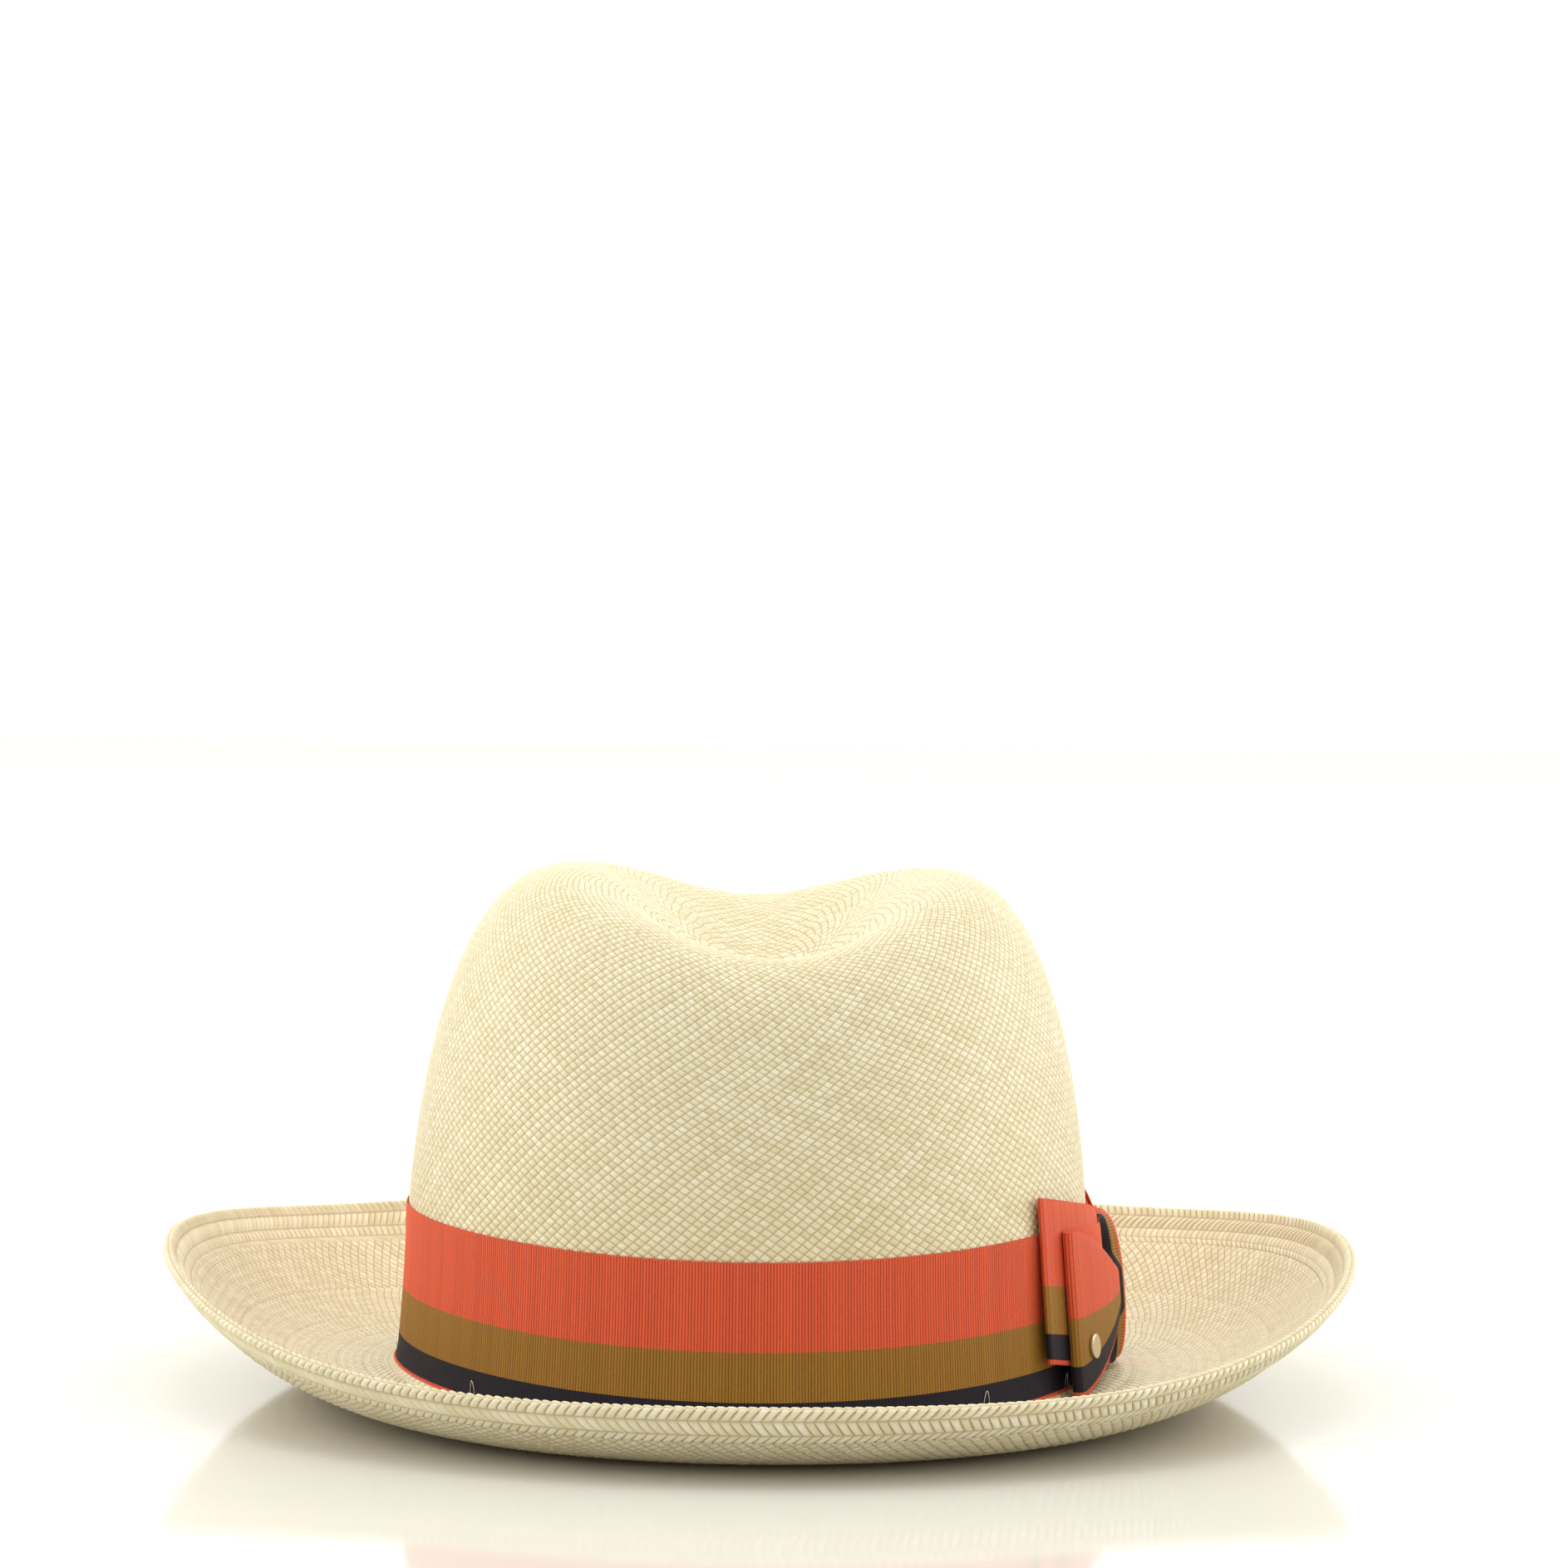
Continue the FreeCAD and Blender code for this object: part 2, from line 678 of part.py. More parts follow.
def band_tacks():
    """Short threads that hold the band's lower edge to the brim."""
    tacks = []
    for degrees in tack_angles:
        angle = math.radians(degrees)
        low = band_top(angle) - ribbon_width
        start = band_outside(angle, low + tack_rise)
        end = band_outside(angle + tack_turn, low + tack_foot)
        tacks.append(rod(start, end, tack_radius))
    return Part.makeCompound(tacks)


nodes = {
    "straw_body": straw_body,
    "hat_band": hat_band,
    "bow_base_loop": bow_base_loop,
    "bow_top_loop": bow_top_loop,
    "bow_knot": bow_knot,
    "badge": badge,
    "badge_clutch": badge_clutch,
    "sweatband": sweatband,
    "sweatband_reed": sweatband_reed,
    "reed_tape": reed_tape,
    "sweatband_stitches": sweatband_stitches,
    "size_tag": size_tag,
    "seam_bow": seam_bow,
    "seam_bow_wrap": seam_bow_wrap,
    "band_tacks": band_tacks,
}

os.makedirs("parts", exist_ok=True)
for name, make in nodes.items():
    shape = make()
    shape.exportStep("parts/" + name + ".step")
    box = shape.BoundBox
    print(name, "valid", shape.isValid(), "solids", len(shape.Solids), "volume", round(shape.Volume, 1),
          "box", [round(v, 1) for v in (box.XMin, box.XMax, box.YMin, box.YMax, box.ZMin, box.ZMax)])
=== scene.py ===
import bmesh
import bpy
import math
import numpy as np
from mathutils import Matrix, Vector


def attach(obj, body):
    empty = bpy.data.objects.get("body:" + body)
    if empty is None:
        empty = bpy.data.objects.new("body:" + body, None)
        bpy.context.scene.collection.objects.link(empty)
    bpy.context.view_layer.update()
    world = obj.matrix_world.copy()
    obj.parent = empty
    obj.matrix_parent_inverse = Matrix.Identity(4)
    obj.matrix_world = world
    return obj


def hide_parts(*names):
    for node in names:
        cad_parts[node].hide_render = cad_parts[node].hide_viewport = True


# A woven straw fedora with a striped ribbon band and side bow. Shapes are worked out in
# millimetres and go into the meshes in metres. -Y is the front, +X the side with the bow.

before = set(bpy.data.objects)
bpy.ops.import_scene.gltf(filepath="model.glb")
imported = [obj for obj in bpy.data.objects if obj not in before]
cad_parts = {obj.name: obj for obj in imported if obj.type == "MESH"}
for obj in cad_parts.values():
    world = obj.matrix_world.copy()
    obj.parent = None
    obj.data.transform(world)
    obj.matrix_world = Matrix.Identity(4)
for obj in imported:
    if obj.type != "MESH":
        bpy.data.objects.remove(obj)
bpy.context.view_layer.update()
print("frame loaded:", len(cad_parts), "nodes")

mm = 0.001
turn = 2 * math.pi

crown = {
    "halfWidth": 85.7, "halfLength": 101.5, "footHeight": 40.0, "domeHeight": 94.3,
    "sidePower": 5.8, "topPower": 1.5, "lean": 0.9, "flare": 2.6, "flarePower": 1.5,
}
dent = {
    "depth": 36.0, "middleX": 2.0, "middleY": -25.0, "reachFront": 51.0, "reachBack": 78.5,
    "halfWidth": 31.3, "taper": 0.14, "fadeLow": 50.0, "fadeHigh": 100.0,
}
brim = {
    "width": 61.8, "sideShift": 3.3, "fillet": 3.0, "sideLift": 3.4, "edge": 29.5, "edgeBack": 8.0,
    "edgeSides": 5.6, "edgeCorners": 2.6, "curl": 3.8, "curlSides": -1.1, "curlCorners": 0.3,
}
strawThickness = 1.3


def linear(hexColour):
    # sRGB hex to linear colour
    value = [int(hexColour[i:i + 2], 16) / 255 for i in (1, 3, 5)]
    return [c / 12.92 if c <= 0.04045 else ((c + 0.055) / 1.055) ** 2.4 for c in value] + [1.0]


def addNode(tree, kind, settings=None, inputs=None):
    # one node with its settings; inputs are values or the sockets that feed them
    node = tree.nodes.new(kind)
    for name, value in (settings or {}).items():
        setattr(node, name, value)
    for name, value in (inputs or {}).items():
        if isinstance(value, bpy.types.NodeSocket):
            tree.links.new(value, node.inputs[name])
        else:
            node.inputs[name].default_value = value
    return node


def newMaterial(name):
    material = bpy.data.materials.new(name)
    material.use_nodes = True
    tree = material.node_tree
    tree.nodes.clear()
    shader = addNode(tree, "ShaderNodeBsdfPrincipled")
    addNode(tree, "ShaderNodeOutputMaterial", None, {"Surface": shader.outputs[0]})
    return material, tree, shader


def calc(tree, operation, first, second=0.0, third=0.0):
    node = addNode(tree, "ShaderNodeMath", {"operation": operation}, {0: first, 1: second, 2: third})
    return node.outputs[0]


def blendColours(tree, factor, first, second, mode="MIX"):
    node = addNode(tree, "ShaderNodeMix", {"data_type": "RGBA", "blend_type": mode},
                   {0: factor, 6: first, 7: second})
    return node.outputs[2]


def noiseAt(tree, vector, scale, detail=2.0, dimensions="3D"):
    node = addNode(tree, "ShaderNodeTexNoise", {"noise_dimensions": dimensions},
                   {"Vector": vector, "Scale": scale, "Detail": detail})
    return node.outputs[0]


def smoothStep(value):
    value = np.clip(value, 0, 1)
    return value * value * (3 - 2 * value)


def filledMesh(name, points, corner, starts):
    # a mesh from arrays: points in mm, the point number at each face corner, and each face's first corner
    mesh = bpy.data.meshes.new(name)
    mesh.vertices.add(points.size // 3)
    mesh.vertices.foreach_set("co", (points * mm).astype(np.float32).ravel())
    mesh.loops.add(len(corner))
    mesh.loops.foreach_set("vertex_index", corner.astype(np.int32))
    mesh.polygons.add(len(starts))
    mesh.polygons.foreach_set("loop_start", starts.astype(np.int32))
    mesh.polygons.foreach_set("use_smooth", np.ones(len(starts), dtype=bool))
    mesh.update(calc_edges=True)
    return mesh


def gridPiece(name, points, uv, material, closedAround=False, closedSection=False, capped=False,
              sharpRows=(), flip=False):
    # Quads between the rows and columns of a grid of points (rows, columns, 3). closedAround joins
    # the last column to the first, closedSection the last row to the first, and capped closes the
    # two open ends of a tube whose section runs down the rows. uv has one more row or column
    # where the grid is closed, so that a pattern runs on over the join.
    rows, columns = points.shape[:2]
    index = np.arange(rows * columns).reshape(rows, columns)
    if closedAround:
        index = np.concatenate([index, index[:, :1]], axis=1)
    if closedSection:
        index = np.concatenate([index, index[:1]], axis=0)
    corners = [index[:-1, :-1], index[:-1, 1:], index[1:, 1:], index[1:, :-1]]
    uvCorners = [uv[:-1, :-1], uv[:-1, 1:], uv[1:, 1:], uv[1:, :-1]]
    if flip:
        corners.reverse()
        uvCorners.reverse()
    faces = np.stack(corners, axis=-1).reshape(-1, 4)
    faceUv = np.stack(uvCorners, axis=-2).reshape(-1, 2)
    corner = faces.ravel()
    starts = np.arange(len(faces)) * 4
    if capped:
        first, last = index[:-1, 0], index[:-1, -1][::-1]
        ends = [uv[:-1, 0], uv[:-1, -1][::-1]]
        if flip:
            first, last = first[::-1], last[::-1]
            ends = [end[::-1] for end in ends]
        starts = np.append(starts, [len(corner), len(corner) + len(first)])
        corner = np.concatenate([corner, first, last])
        faceUv = np.concatenate([faceUv] + ends)
    mesh = filledMesh(name, points, corner, starts)
    layer = mesh.uv_layers.new(name="pattern")
    layer.data.foreach_set("uv", faceUv.astype(np.float32).ravel())
    if len(sharpRows):
        ends = np.zeros(len(mesh.edges) * 2, dtype=np.int32)
        mesh.edges.foreach_get("vertices", ends)
        edgeRows = ends.reshape(-1, 2) // columns
        sharp = (edgeRows[:, 0] == edgeRows[:, 1]) & np.isin(edgeRows[:, 0], sharpRows)
        mesh.attributes.new("sharp_edge", "BOOLEAN", "EDGE").data.foreach_set("value", sharp)
    mesh.materials.append(material)
    mesh.update()
    piece = bpy.data.objects.new(name, mesh)
    bpy.context.scene.collection.objects.link(piece)
    print(name, len(mesh.polygons), "faces")
    return piece


def gridNormals(points, closedAround=True):
    # unit normals of a grid of points, from the cross product of its two directions
    if closedAround:
        across = np.roll(points, -1, axis=1) - np.roll(points, 1, axis=1)
    else:
        across = np.gradient(points, axis=1)
    along = np.gradient(points, axis=0)
    normal = np.cross(across, along)
    return normal / np.maximum(np.linalg.norm(normal, axis=2, keepdims=True), 1e-9)


def point(x, y, z):
    return np.stack(np.broadcast_arrays(x, y, z), axis=-1).astype(float)


def cornerHeight(angle):
    # outer corner between crown and brim, flat on the table at front and back
    return strawThickness + brim["sideLift"] * np.cos(angle) ** 4


def wallSpread(angle, height):
    # how far the wall stands outside the dome's foot: a flare, and the hollow corner's quarter round
    fall = np.maximum(crown["footHeight"] - height, 0) / crown["footHeight"]
    rise = height - cornerHeight(angle)
    drop = brim["fillet"] - np.clip(rise, 0, brim["fillet"])
    corner = brim["fillet"] - np.sqrt(brim["fillet"] ** 2 - drop ** 2)
    return crown["flare"] * fall ** crown["flarePower"] + corner


def wallPoint(angle, height, offset=0.0):
    # the crown's wall is an ellipse that spreads towards the brim
    spread = wallSpread(angle, height) + offset
    return point((crown["halfWidth"] + spread) * np.cos(angle),
                 (crown["halfLength"] + spread) * np.sin(angle), height)


def dentAt(x, y, domeHeight):
    # a bell-shaped hollow, longer to the back, that dies out down the wall
    reach = np.where(y < dent["middleY"], dent["reachFront"], dent["reachBack"])
    halfWidth = dent["halfWidth"] * (1 - dent["taper"] * (y - dent["middleY"]) / 100)
    bell = np.exp(-((y - dent["middleY"]) / reach) ** 2 - ((x - dent["middleX"]) / halfWidth) ** 2)
    fade = smoothStep((domeHeight - dent["fadeLow"]) / (dent["fadeHigh"] - dent["fadeLow"]))
    return dent["depth"] * bell * fade


def domePoint(angle, share):
    # a superellipse from the wall's foot (share 1) to the middle of the crown (share 0), less the dent
    rise = (1 - share ** crown["sidePower"]) ** (1 / crown["topPower"])
    height = crown["footHeight"] + crown["domeHeight"] * rise
    x = crown["halfWidth"] * share * np.cos(angle)
    y = crown["halfLength"] * share * np.sin(angle)
    lean = crown["lean"] * (height - crown["footHeight"]) / crown["domeHeight"]
    return point(x + lean, y, height - dentAt(x, y, height))


def domeShares():
    # length along the undented dome from its foot, and the share reached there
    rise = np.linspace(0, 0.9, 1500)
    low = (1 - rise ** crown["topPower"]) ** (1 / crown["sidePower"])
    share = np.concatenate([low, np.linspace(low[-1], 0, 1500)[1:]])
    height = crown["domeHeight"] * (1 - share ** crown["sidePower"]) ** (1 / crown["topPower"])
    radius = share * (crown["halfWidth"] + crown["halfLength"]) / 2
    steps = np.hypot(np.diff(height), np.diff(radius))
    return np.concatenate([[0], np.cumsum(steps)]), share


domeLength, domeShare = domeShares()


def domeAlong(angle, along):
    return domePoint(angle, np.interp(along, domeLength, domeShare))


def brimReach(angle):
    # from the foot of the wall to the edge, wider on the side with the bow
    return brim["width"] + brim["sideShift"] * np.cos(angle)


def brimPoint(angle, distance):
    # the upper face rises from the corner to the edge as a power of the distance from the crown
    corner = cornerHeight(angle)
    edge = (brim["edge"] + brim["edgeBack"] * np.sin(angle) + brim["edgeSides"] * np.cos(2 * angle)
            + brim["edgeCorners"] * np.cos(4 * angle))
    power = brim["curl"] + brim["curlSides"] * np.cos(2 * angle) + brim["curlCorners"] * np.cos(4 * angle)
    share = np.clip((distance - brim["fillet"]) / (brimReach(angle) - brim["fillet"]), 0, 1.1)
    height = corner + (edge - corner) * share ** power
    foot = wallSpread(angle, corner + brim["fillet"]) + distance
    wide, long = crown["halfWidth"] + foot, crown["halfLength"] + foot
    return point(wide * np.cos(angle), long * np.sin(angle), height)


weave = {
    "row": 2.25,          # height of one crossing, mm; the two strand families lie at 38 and 31 degrees
    "twist": -0.0005,     # turn of the columns with height, in turns per mm
    "relief": 0.34,       # how proud the middle of a crossing stands
    "wander": 0.35,       # how far hand-pulled strands wander, mm
    "strands": 176,       # strands of one family round the crown's wall
}


strawLook = {
    "deep": "#dfd6b0", "middle": "#eae2c2", "pale": "#f3eed5", "strandShare": 0.6,
    "patch": "#e4d9ac", "patchShare": 0.3, "creaseShade": "#9d7b4c", "creaseShadeShare": 0.8, "holeShade": "#80592f",
    "through": "#e0a862", "throughShare": 0.07, "relief": 0.0003,
}


def strawMaterial(name, woven, rows=0.0):
    # Toquilla straw, split by hand, bleached and pressed: a satin, slightly waxy fibre. Each strand has
    # its own tone, crossings are domed with painted shade in the crease between, and fine fibres run along
    # the strand.
    material, tree, shader = newMaterial(name)
    uv = addNode(tree, "ShaderNodeUVMap", {"uv_map": "pattern"})
    parts = addNode(tree, "ShaderNodeSeparateXYZ", None, {0: uv.outputs[0]})
    if woven:
        strandA, strandB = parts.outputs[0], parts.outputs[1]
        cellA, cellB = calc(tree, "FLOOR", strandA), calc(tree, "FLOOR", strandB)
        placeA = calc(tree, "SUBTRACT", calc(tree, "SUBTRACT", strandA, cellA), 0.5)
        placeB = calc(tree, "SUBTRACT", calc(tree, "SUBTRACT", strandB, cellB), 0.5)
        parity = calc(tree, "FLOORED_MODULO", calc(tree, "ADD", cellA, cellB), 2.0)
        over = calc(tree, "GREATER_THAN", parity, 0.5)
        across = addNode(tree, "ShaderNodeMix", None, {0: over, 2: placeA, 3: placeB}).outputs[0]
        along = addNode(tree, "ShaderNodeMix", None, {0: over, 2: placeB, 3: placeA}).outputs[0]
        owner = addNode(tree, "ShaderNodeMix", None,
                        {0: over, 2: cellA, 3: calc(tree, "ADD", cellB, 500.5)}).outputs[0]
        cell = addNode(tree, "ShaderNodeCombineXYZ", None, {0: cellA, 1: cellB})
    else:
        cellA, row = calc(tree, "FLOOR", parts.outputs[0]), calc(tree, "FLOOR", parts.outputs[1])
        across = calc(tree, "SUBTRACT", calc(tree, "SUBTRACT", parts.outputs[0], cellA), 0.5)
        along = calc(tree, "SUBTRACT", calc(tree, "SUBTRACT", parts.outputs[1], row), 0.5)
        owner = calc(tree, "MULTIPLY_ADD", row, 37.0, cellA)
        cell = addNode(tree, "ShaderNodeCombineXYZ", None, {0: cellA, 1: row})
    cellTone = addNode(tree, "ShaderNodeTexWhiteNoise", {"noise_dimensions": "2D"},
                       {"Vector": cell.outputs[0]}).outputs[0]
    strandTone = addNode(tree, "ShaderNodeTexWhiteNoise", {"noise_dimensions": "1D"},
                         {"W": owner}).outputs[0]
    strandPart = calc(tree, "MULTIPLY", strandTone, strawLook["strandShare"])
    cellPart = calc(tree, "MULTIPLY", cellTone, 1 - strawLook["strandShare"])
    tone = calc(tree, "ADD", strandPart, cellPart)
    ramp = addNode(tree, "ShaderNodeValToRGB", None, {0: tone})
    stops = ramp.color_ramp.elements
    stops[0].color, stops[1].color = linear(strawLook["deep"]), linear(strawLook["pale"])
    stops[0].position, stops[1].position = 0.05, 0.95
    stops.new(0.5).color = linear(strawLook["middle"])
    place = addNode(tree, "ShaderNodeTexCoord").outputs["Object"]
    cloud = noiseAt(tree, place, 28.0, 2.0)
    patchShare = calc(tree, "MULTIPLY", cloud, strawLook["patchShare"])
    patchy = blendColours(tree, patchShare, ramp.outputs[0], linear(strawLook["patch"]))
    # painted shade: the crease colour darkens each strand's edges and its ends, where the crossings meet
    edge = calc(tree, "ABSOLUTE", calc(tree, "MULTIPLY", across, 2.0))
    creaseShade = calc(tree, "POWER", edge, 6.0)
    endPlace = calc(tree, "ABSOLUTE", calc(tree, "MULTIPLY", along, 2.0))
    ends = calc(tree, "POWER", endPlace, 7.0)
    gap = calc(tree, "MAXIMUM", creaseShade, calc(tree, "MULTIPLY", ends, 0.8))
    creaseShadeShare = calc(tree, "MULTIPLY", gap, strawLook["creaseShadeShare"])
    shaded = blendColours(tree, creaseShadeShare, patchy, linear(strawLook["creaseShade"]))
    if rows:
        # close to the crown the rows pull apart a little, and painted shade stands in rings for the small
        # holes between them
        holeShade = calc(tree, "MULTIPLY", calc(tree, "POWER", edge, 3.0), calc(tree, "POWER", endPlace, 3.0))
        row = calc(tree, "FRACT", calc(tree, "MULTIPLY", calc(tree, "ADD", strandA, strandB), 0.5))
        fromMiddle = calc(tree, "SUBTRACT", calc(tree, "MULTIPLY", row, 2.0), 1.0)
        rowEdge = calc(tree, "POWER", calc(tree, "ABSOLUTE", fromMiddle), 4.0)
        holeShadeShare = calc(tree, "MULTIPLY", calc(tree, "MULTIPLY", holeShade, rowEdge), rows)
        shaded = blendColours(tree, holeShadeShare, shaded, linear(strawLook["holeShade"]))
    fibreAcross = calc(tree, "MULTIPLY", across, 7.0)
    fibreRow = addNode(tree, "ShaderNodeCombineXYZ", None,
                       {0: fibreAcross, 1: calc(tree, "MULTIPLY", along, 0.7), 2: owner})
    fibre = noiseAt(tree, fibreRow.outputs[0], 1.3, 2.0)
    dome = calc(tree, "SUBTRACT", 1.0, calc(tree, "POWER", edge, 3.0))
    bend = calc(tree, "COSINE", calc(tree, "MULTIPLY", along, math.pi))
    crossing = calc(tree, "MULTIPLY", dome, calc(tree, "ADD", calc(tree, "MULTIPLY", bend, 0.5), 0.5))
    relief = calc(tree, "ADD", crossing, calc(tree, "MULTIPLY", fibre, 0.25))
    bump = addNode(tree, "ShaderNodeBump", None,
                   {"Strength": 0.55, "Distance": strawLook["relief"], "Height": relief})
    tree.links.new(shaded, shader.inputs["Base Color"])
    tree.links.new(bump.outputs[0], shader.inputs["Normal"])
    shader.inputs["Roughness"].default_value = 0.4
    shader.inputs["IOR"].default_value = 1.5
    through = addNode(tree, "ShaderNodeBsdfTranslucent", None, {"Color": linear(strawLook["through"])})
    both = addNode(tree, "ShaderNodeMixShader", None,
                   {0: strawLook["throughShare"], 1: shader.outputs[0], 2: through.outputs[0]})
    output = next(node for node in tree.nodes if node.type == "OUTPUT_MATERIAL")
    tree.links.new(both.outputs[0], output.inputs[0])
    return material


wovenStraw = strawMaterial("toquilla_straw_woven_bleached", True)
# the rings near the crown carry painted shade for small holes between their rows
ringedStraw = strawMaterial("toquilla_straw_woven_in_rings", True, 0.9)
braidedStraw = strawMaterial("toquilla_straw_braided_edge", False)


def crossingHeight(a, b):
    # plain weave: strand a lies on top where the cell numbers add up to an even number; the strand
    # on top is a low dome across its width and dips at both ends of the crossing
    cellA, cellB = np.floor(a), np.floor(b)
    placeA, placeB = a - cellA - 0.5, b - cellB - 0.5
    overA = (cellA + cellB) % 2 == 0
    across = np.where(overA, placeA, placeB)
    along = np.where(overA, placeB, placeA)
    return (1 - np.abs(2 * across) ** 2.5) * (0.5 + 0.5 * np.cos(math.pi * along))


def wander(angle, along, seed):
    # a smooth random drift of hand-pulled strands: a few crossed waves round and along the hat
    rng = np.random.default_rng(seed)
    total = 0.0
    for around in (5, 9, 14, 22):
        first, second = rng.uniform(0, turn, 2)
        total = total + np.sin(around * angle + first) * np.sin(along / rng.uniform(5, 12) + second)
    return total / 2


def wovenPatch(pointAt, start, end, strands, fade, outward, seed):
    # One ring of weave between two distances along the surface. The grid has four steps to a
    # crossing both ways, so each crossing's middle, corners and edges have a vertex of their own.
    crossings = max(round((end - start) / weave["row"]), 1)
    rows, columns = 4 * crossings + 1, 4 * strands
    q = np.arange(rows)[:, None] / 4
    p = np.arange(columns + 1)[None, :] / 4
    along = start + (end - start) * q / crossings + 0 * p
    angle = turn * p / strands + turn * weave["twist"] * along
    a, b = q + p, q - p
    drift = smoothStep(np.minimum(along - start, end - along) / 3)
    radius = (crown["halfWidth"] + crown["halfLength"]) / 2
    shiftedAngle = angle + weave["wander"] / radius * drift * wander(angle, along, seed)
    shiftedAlong = along + weave["wander"] * drift * wander(angle, along, seed + 1)
    points = pointAt(shiftedAngle, shiftedAlong)
    height = crossingHeight(a, b)
    edges = np.ones_like(q)
    if fade:
        edges = np.clip(np.minimum(q, crossings - q) / 0.5, 0, 1)
    wide = 0.85 + 0.3 * np.random.default_rng(seed + 2).random((1, columns + 1))
    smooth = points[:, :-1]
    normal = gridNormals(smooth) * outward
    proud = (weave["relief"] * wide * height * edges)[:, :-1, None]
    return smooth + normal * proud, smooth, normal, np.stack([a, b], axis=-1)


def wovenRing(name, pointAt, start, end, strands, fade=True, bothFaces=False, seed=1, material=wovenStraw):
    # A closed ring of woven straw: the woven face, and below it the back face, which is as fully
    # woven where it shows and coarser where it doesn't
    face, smooth, normal, uv = wovenPatch(pointAt, start, end, strands, fade, 1, seed)
    back = smooth - normal * (strawThickness - 0.2)
    if bothFaces:
        relief = (face - smooth) * -1
        back = back + relief
    else:
        keep = np.unique(np.r_[0:len(back):8, len(back) - 1])
        back = back[keep]
    backUv = uv if bothFaces else uv[keep]
    points = np.concatenate([face, back[::-1]])
    pattern = np.concatenate([uv, backUv[::-1], uv[:1]])
    sharp = [0, len(face) - 1, len(face), len(points) - 1]
    piece = gridPiece(name, points, pattern, material, True, True, sharpRows=sharp)
    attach(piece, "hat")
    return piece


dome = {
    "wallEnds": (0.0, 46.0, 88.0),                # the wall, in two pieces with one run of weave
    "rings": ((98.0, 152), (107.0, 128), (116.0, 102), (124.0, 80),
              (131.0, 60), (138.0, 42), (144.0, 26), (149.0, 14)),
}
lowEnd, middleEnd, highEnd = [weave["row"] * round(v / weave["row"]) for v in dome["wallEnds"]]
wovenRing("crown_wall_lower", domeAlong, lowEnd, middleEnd, weave["strands"],
                             False, seed=3)
wovenRing("crown_wall_upper", domeAlong, middleEnd, highEnd, weave["strands"],
                             False, seed=3)
reached = highEnd
for number, (ringEnd, strands) in enumerate(dome["rings"]):
    wovenRing(f"crown_top_ring_{number + 1}", domeAlong, reached, ringEnd, strands,
                                 seed=20 + number)
    reached = ringEnd


def crownButton():
    # the start of the weave: a small domed disc, closed at its middle
    angle = (turn * np.arange(57) / 56)[None, :]
    share = np.linspace(np.interp(reached, domeLength, domeShare) + 0.004, 0.0, 6)[:, None]
    outer = domePoint(angle, share)
    outer[..., 2] += 0.15
    inner = outer[::-1] - np.array([0, 0, strawThickness])
    points = np.concatenate([outer, inner])[:, :-1]
    uv = np.concatenate([outer, inner, outer[:1]])[..., :2] / weave["row"]
    piece = gridPiece("crown_button", points, uv, wovenStraw, True, True)
    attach(piece, "hat")
    return piece


def mergeDoubles(piece):
    work = bmesh.new()
    work.from_mesh(piece.data)
    bmesh.ops.remove_doubles(work, verts=work.verts, dist=1e-6)
    work.to_mesh(piece.data)
    work.free()


button = crownButton()
mergeDoubles(button)


def crownFoot():
    # the wall behind the band, from the hollow corner up; its inner face shows from below
    columns = 4 * weave["strands"]
    p = np.arange(columns + 1)[None, :] / 4
    angle = turn * p / weave["strands"]
    share = np.linspace(0, 1, 17)[:, None]
    low = cornerHeight(angle) + 0.02
    height = low + (crown["footHeight"] - low) * share
    outer = wallPoint(angle, height)
    inner = wallPoint(angle, height - 0.8 * (1 - share), -(strawThickness - 0.2))
    q = (crown["footHeight"] - 3) * (share - 1) / weave["row"]
    uv = np.stack([q + p, q - p], axis=-1)
    points = np.concatenate([outer, inner[::-1]])[:, :-1]
    pattern = np.concatenate([uv, uv[::-1], uv[:1]])
    piece = gridPiece("crown_foot", points, pattern, wovenStraw, True, True, sharpRows=[0, 16, 17, 33])
    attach(piece, "hat")
    return piece


crownFoot()

brimRings = ((2.2, 9.5, 184), (9.5, 16.5, 204), (16.5, 23.5, 222),
             (23.5, 30.5, 240), (30.5, 42.0, 264), (42.0, 54.9, 288))
openRings = 3                # the rings nearest the crown, whose rows stand a little apart


def brimAlong(angle, along):
    # the weave's rows spread with the brim where it is wider
    return brimPoint(-angle, along * brimReach(-angle) / brim["width"])


for number, (ringStart, ringEnd, strands) in enumerate(brimRings):
    ringStraw = ringedStraw if number < openRings else wovenStraw
    wovenRing(f"brim_ring_{number + 1}", brimAlong, ringStart, ringEnd, strands,
                                 bothFaces=True, seed=50 + number, material=ringStraw)

# The edge is finished by a braid: from the upper face outwards a sunken row, a smooth ridge and two
# slanted rows, then round the rim two wider slanted rows on the under face.
braid = {
    "strands": 400, "samples": 6, "depth": 0.7, "thickness": 2.1,
    "rows": ((1.3, 1, 0.6), (1.7, 0, 0.5), (2.2, -1, 0.9), (2.4, 1, 0.9),
             (3.2, -1, 1.1), (3.2, 1, 1.1), (2.6, -1, 0.6)),
    "rowSteps": 5, "upperWidth": 6.6, "slant": 1.15,
}


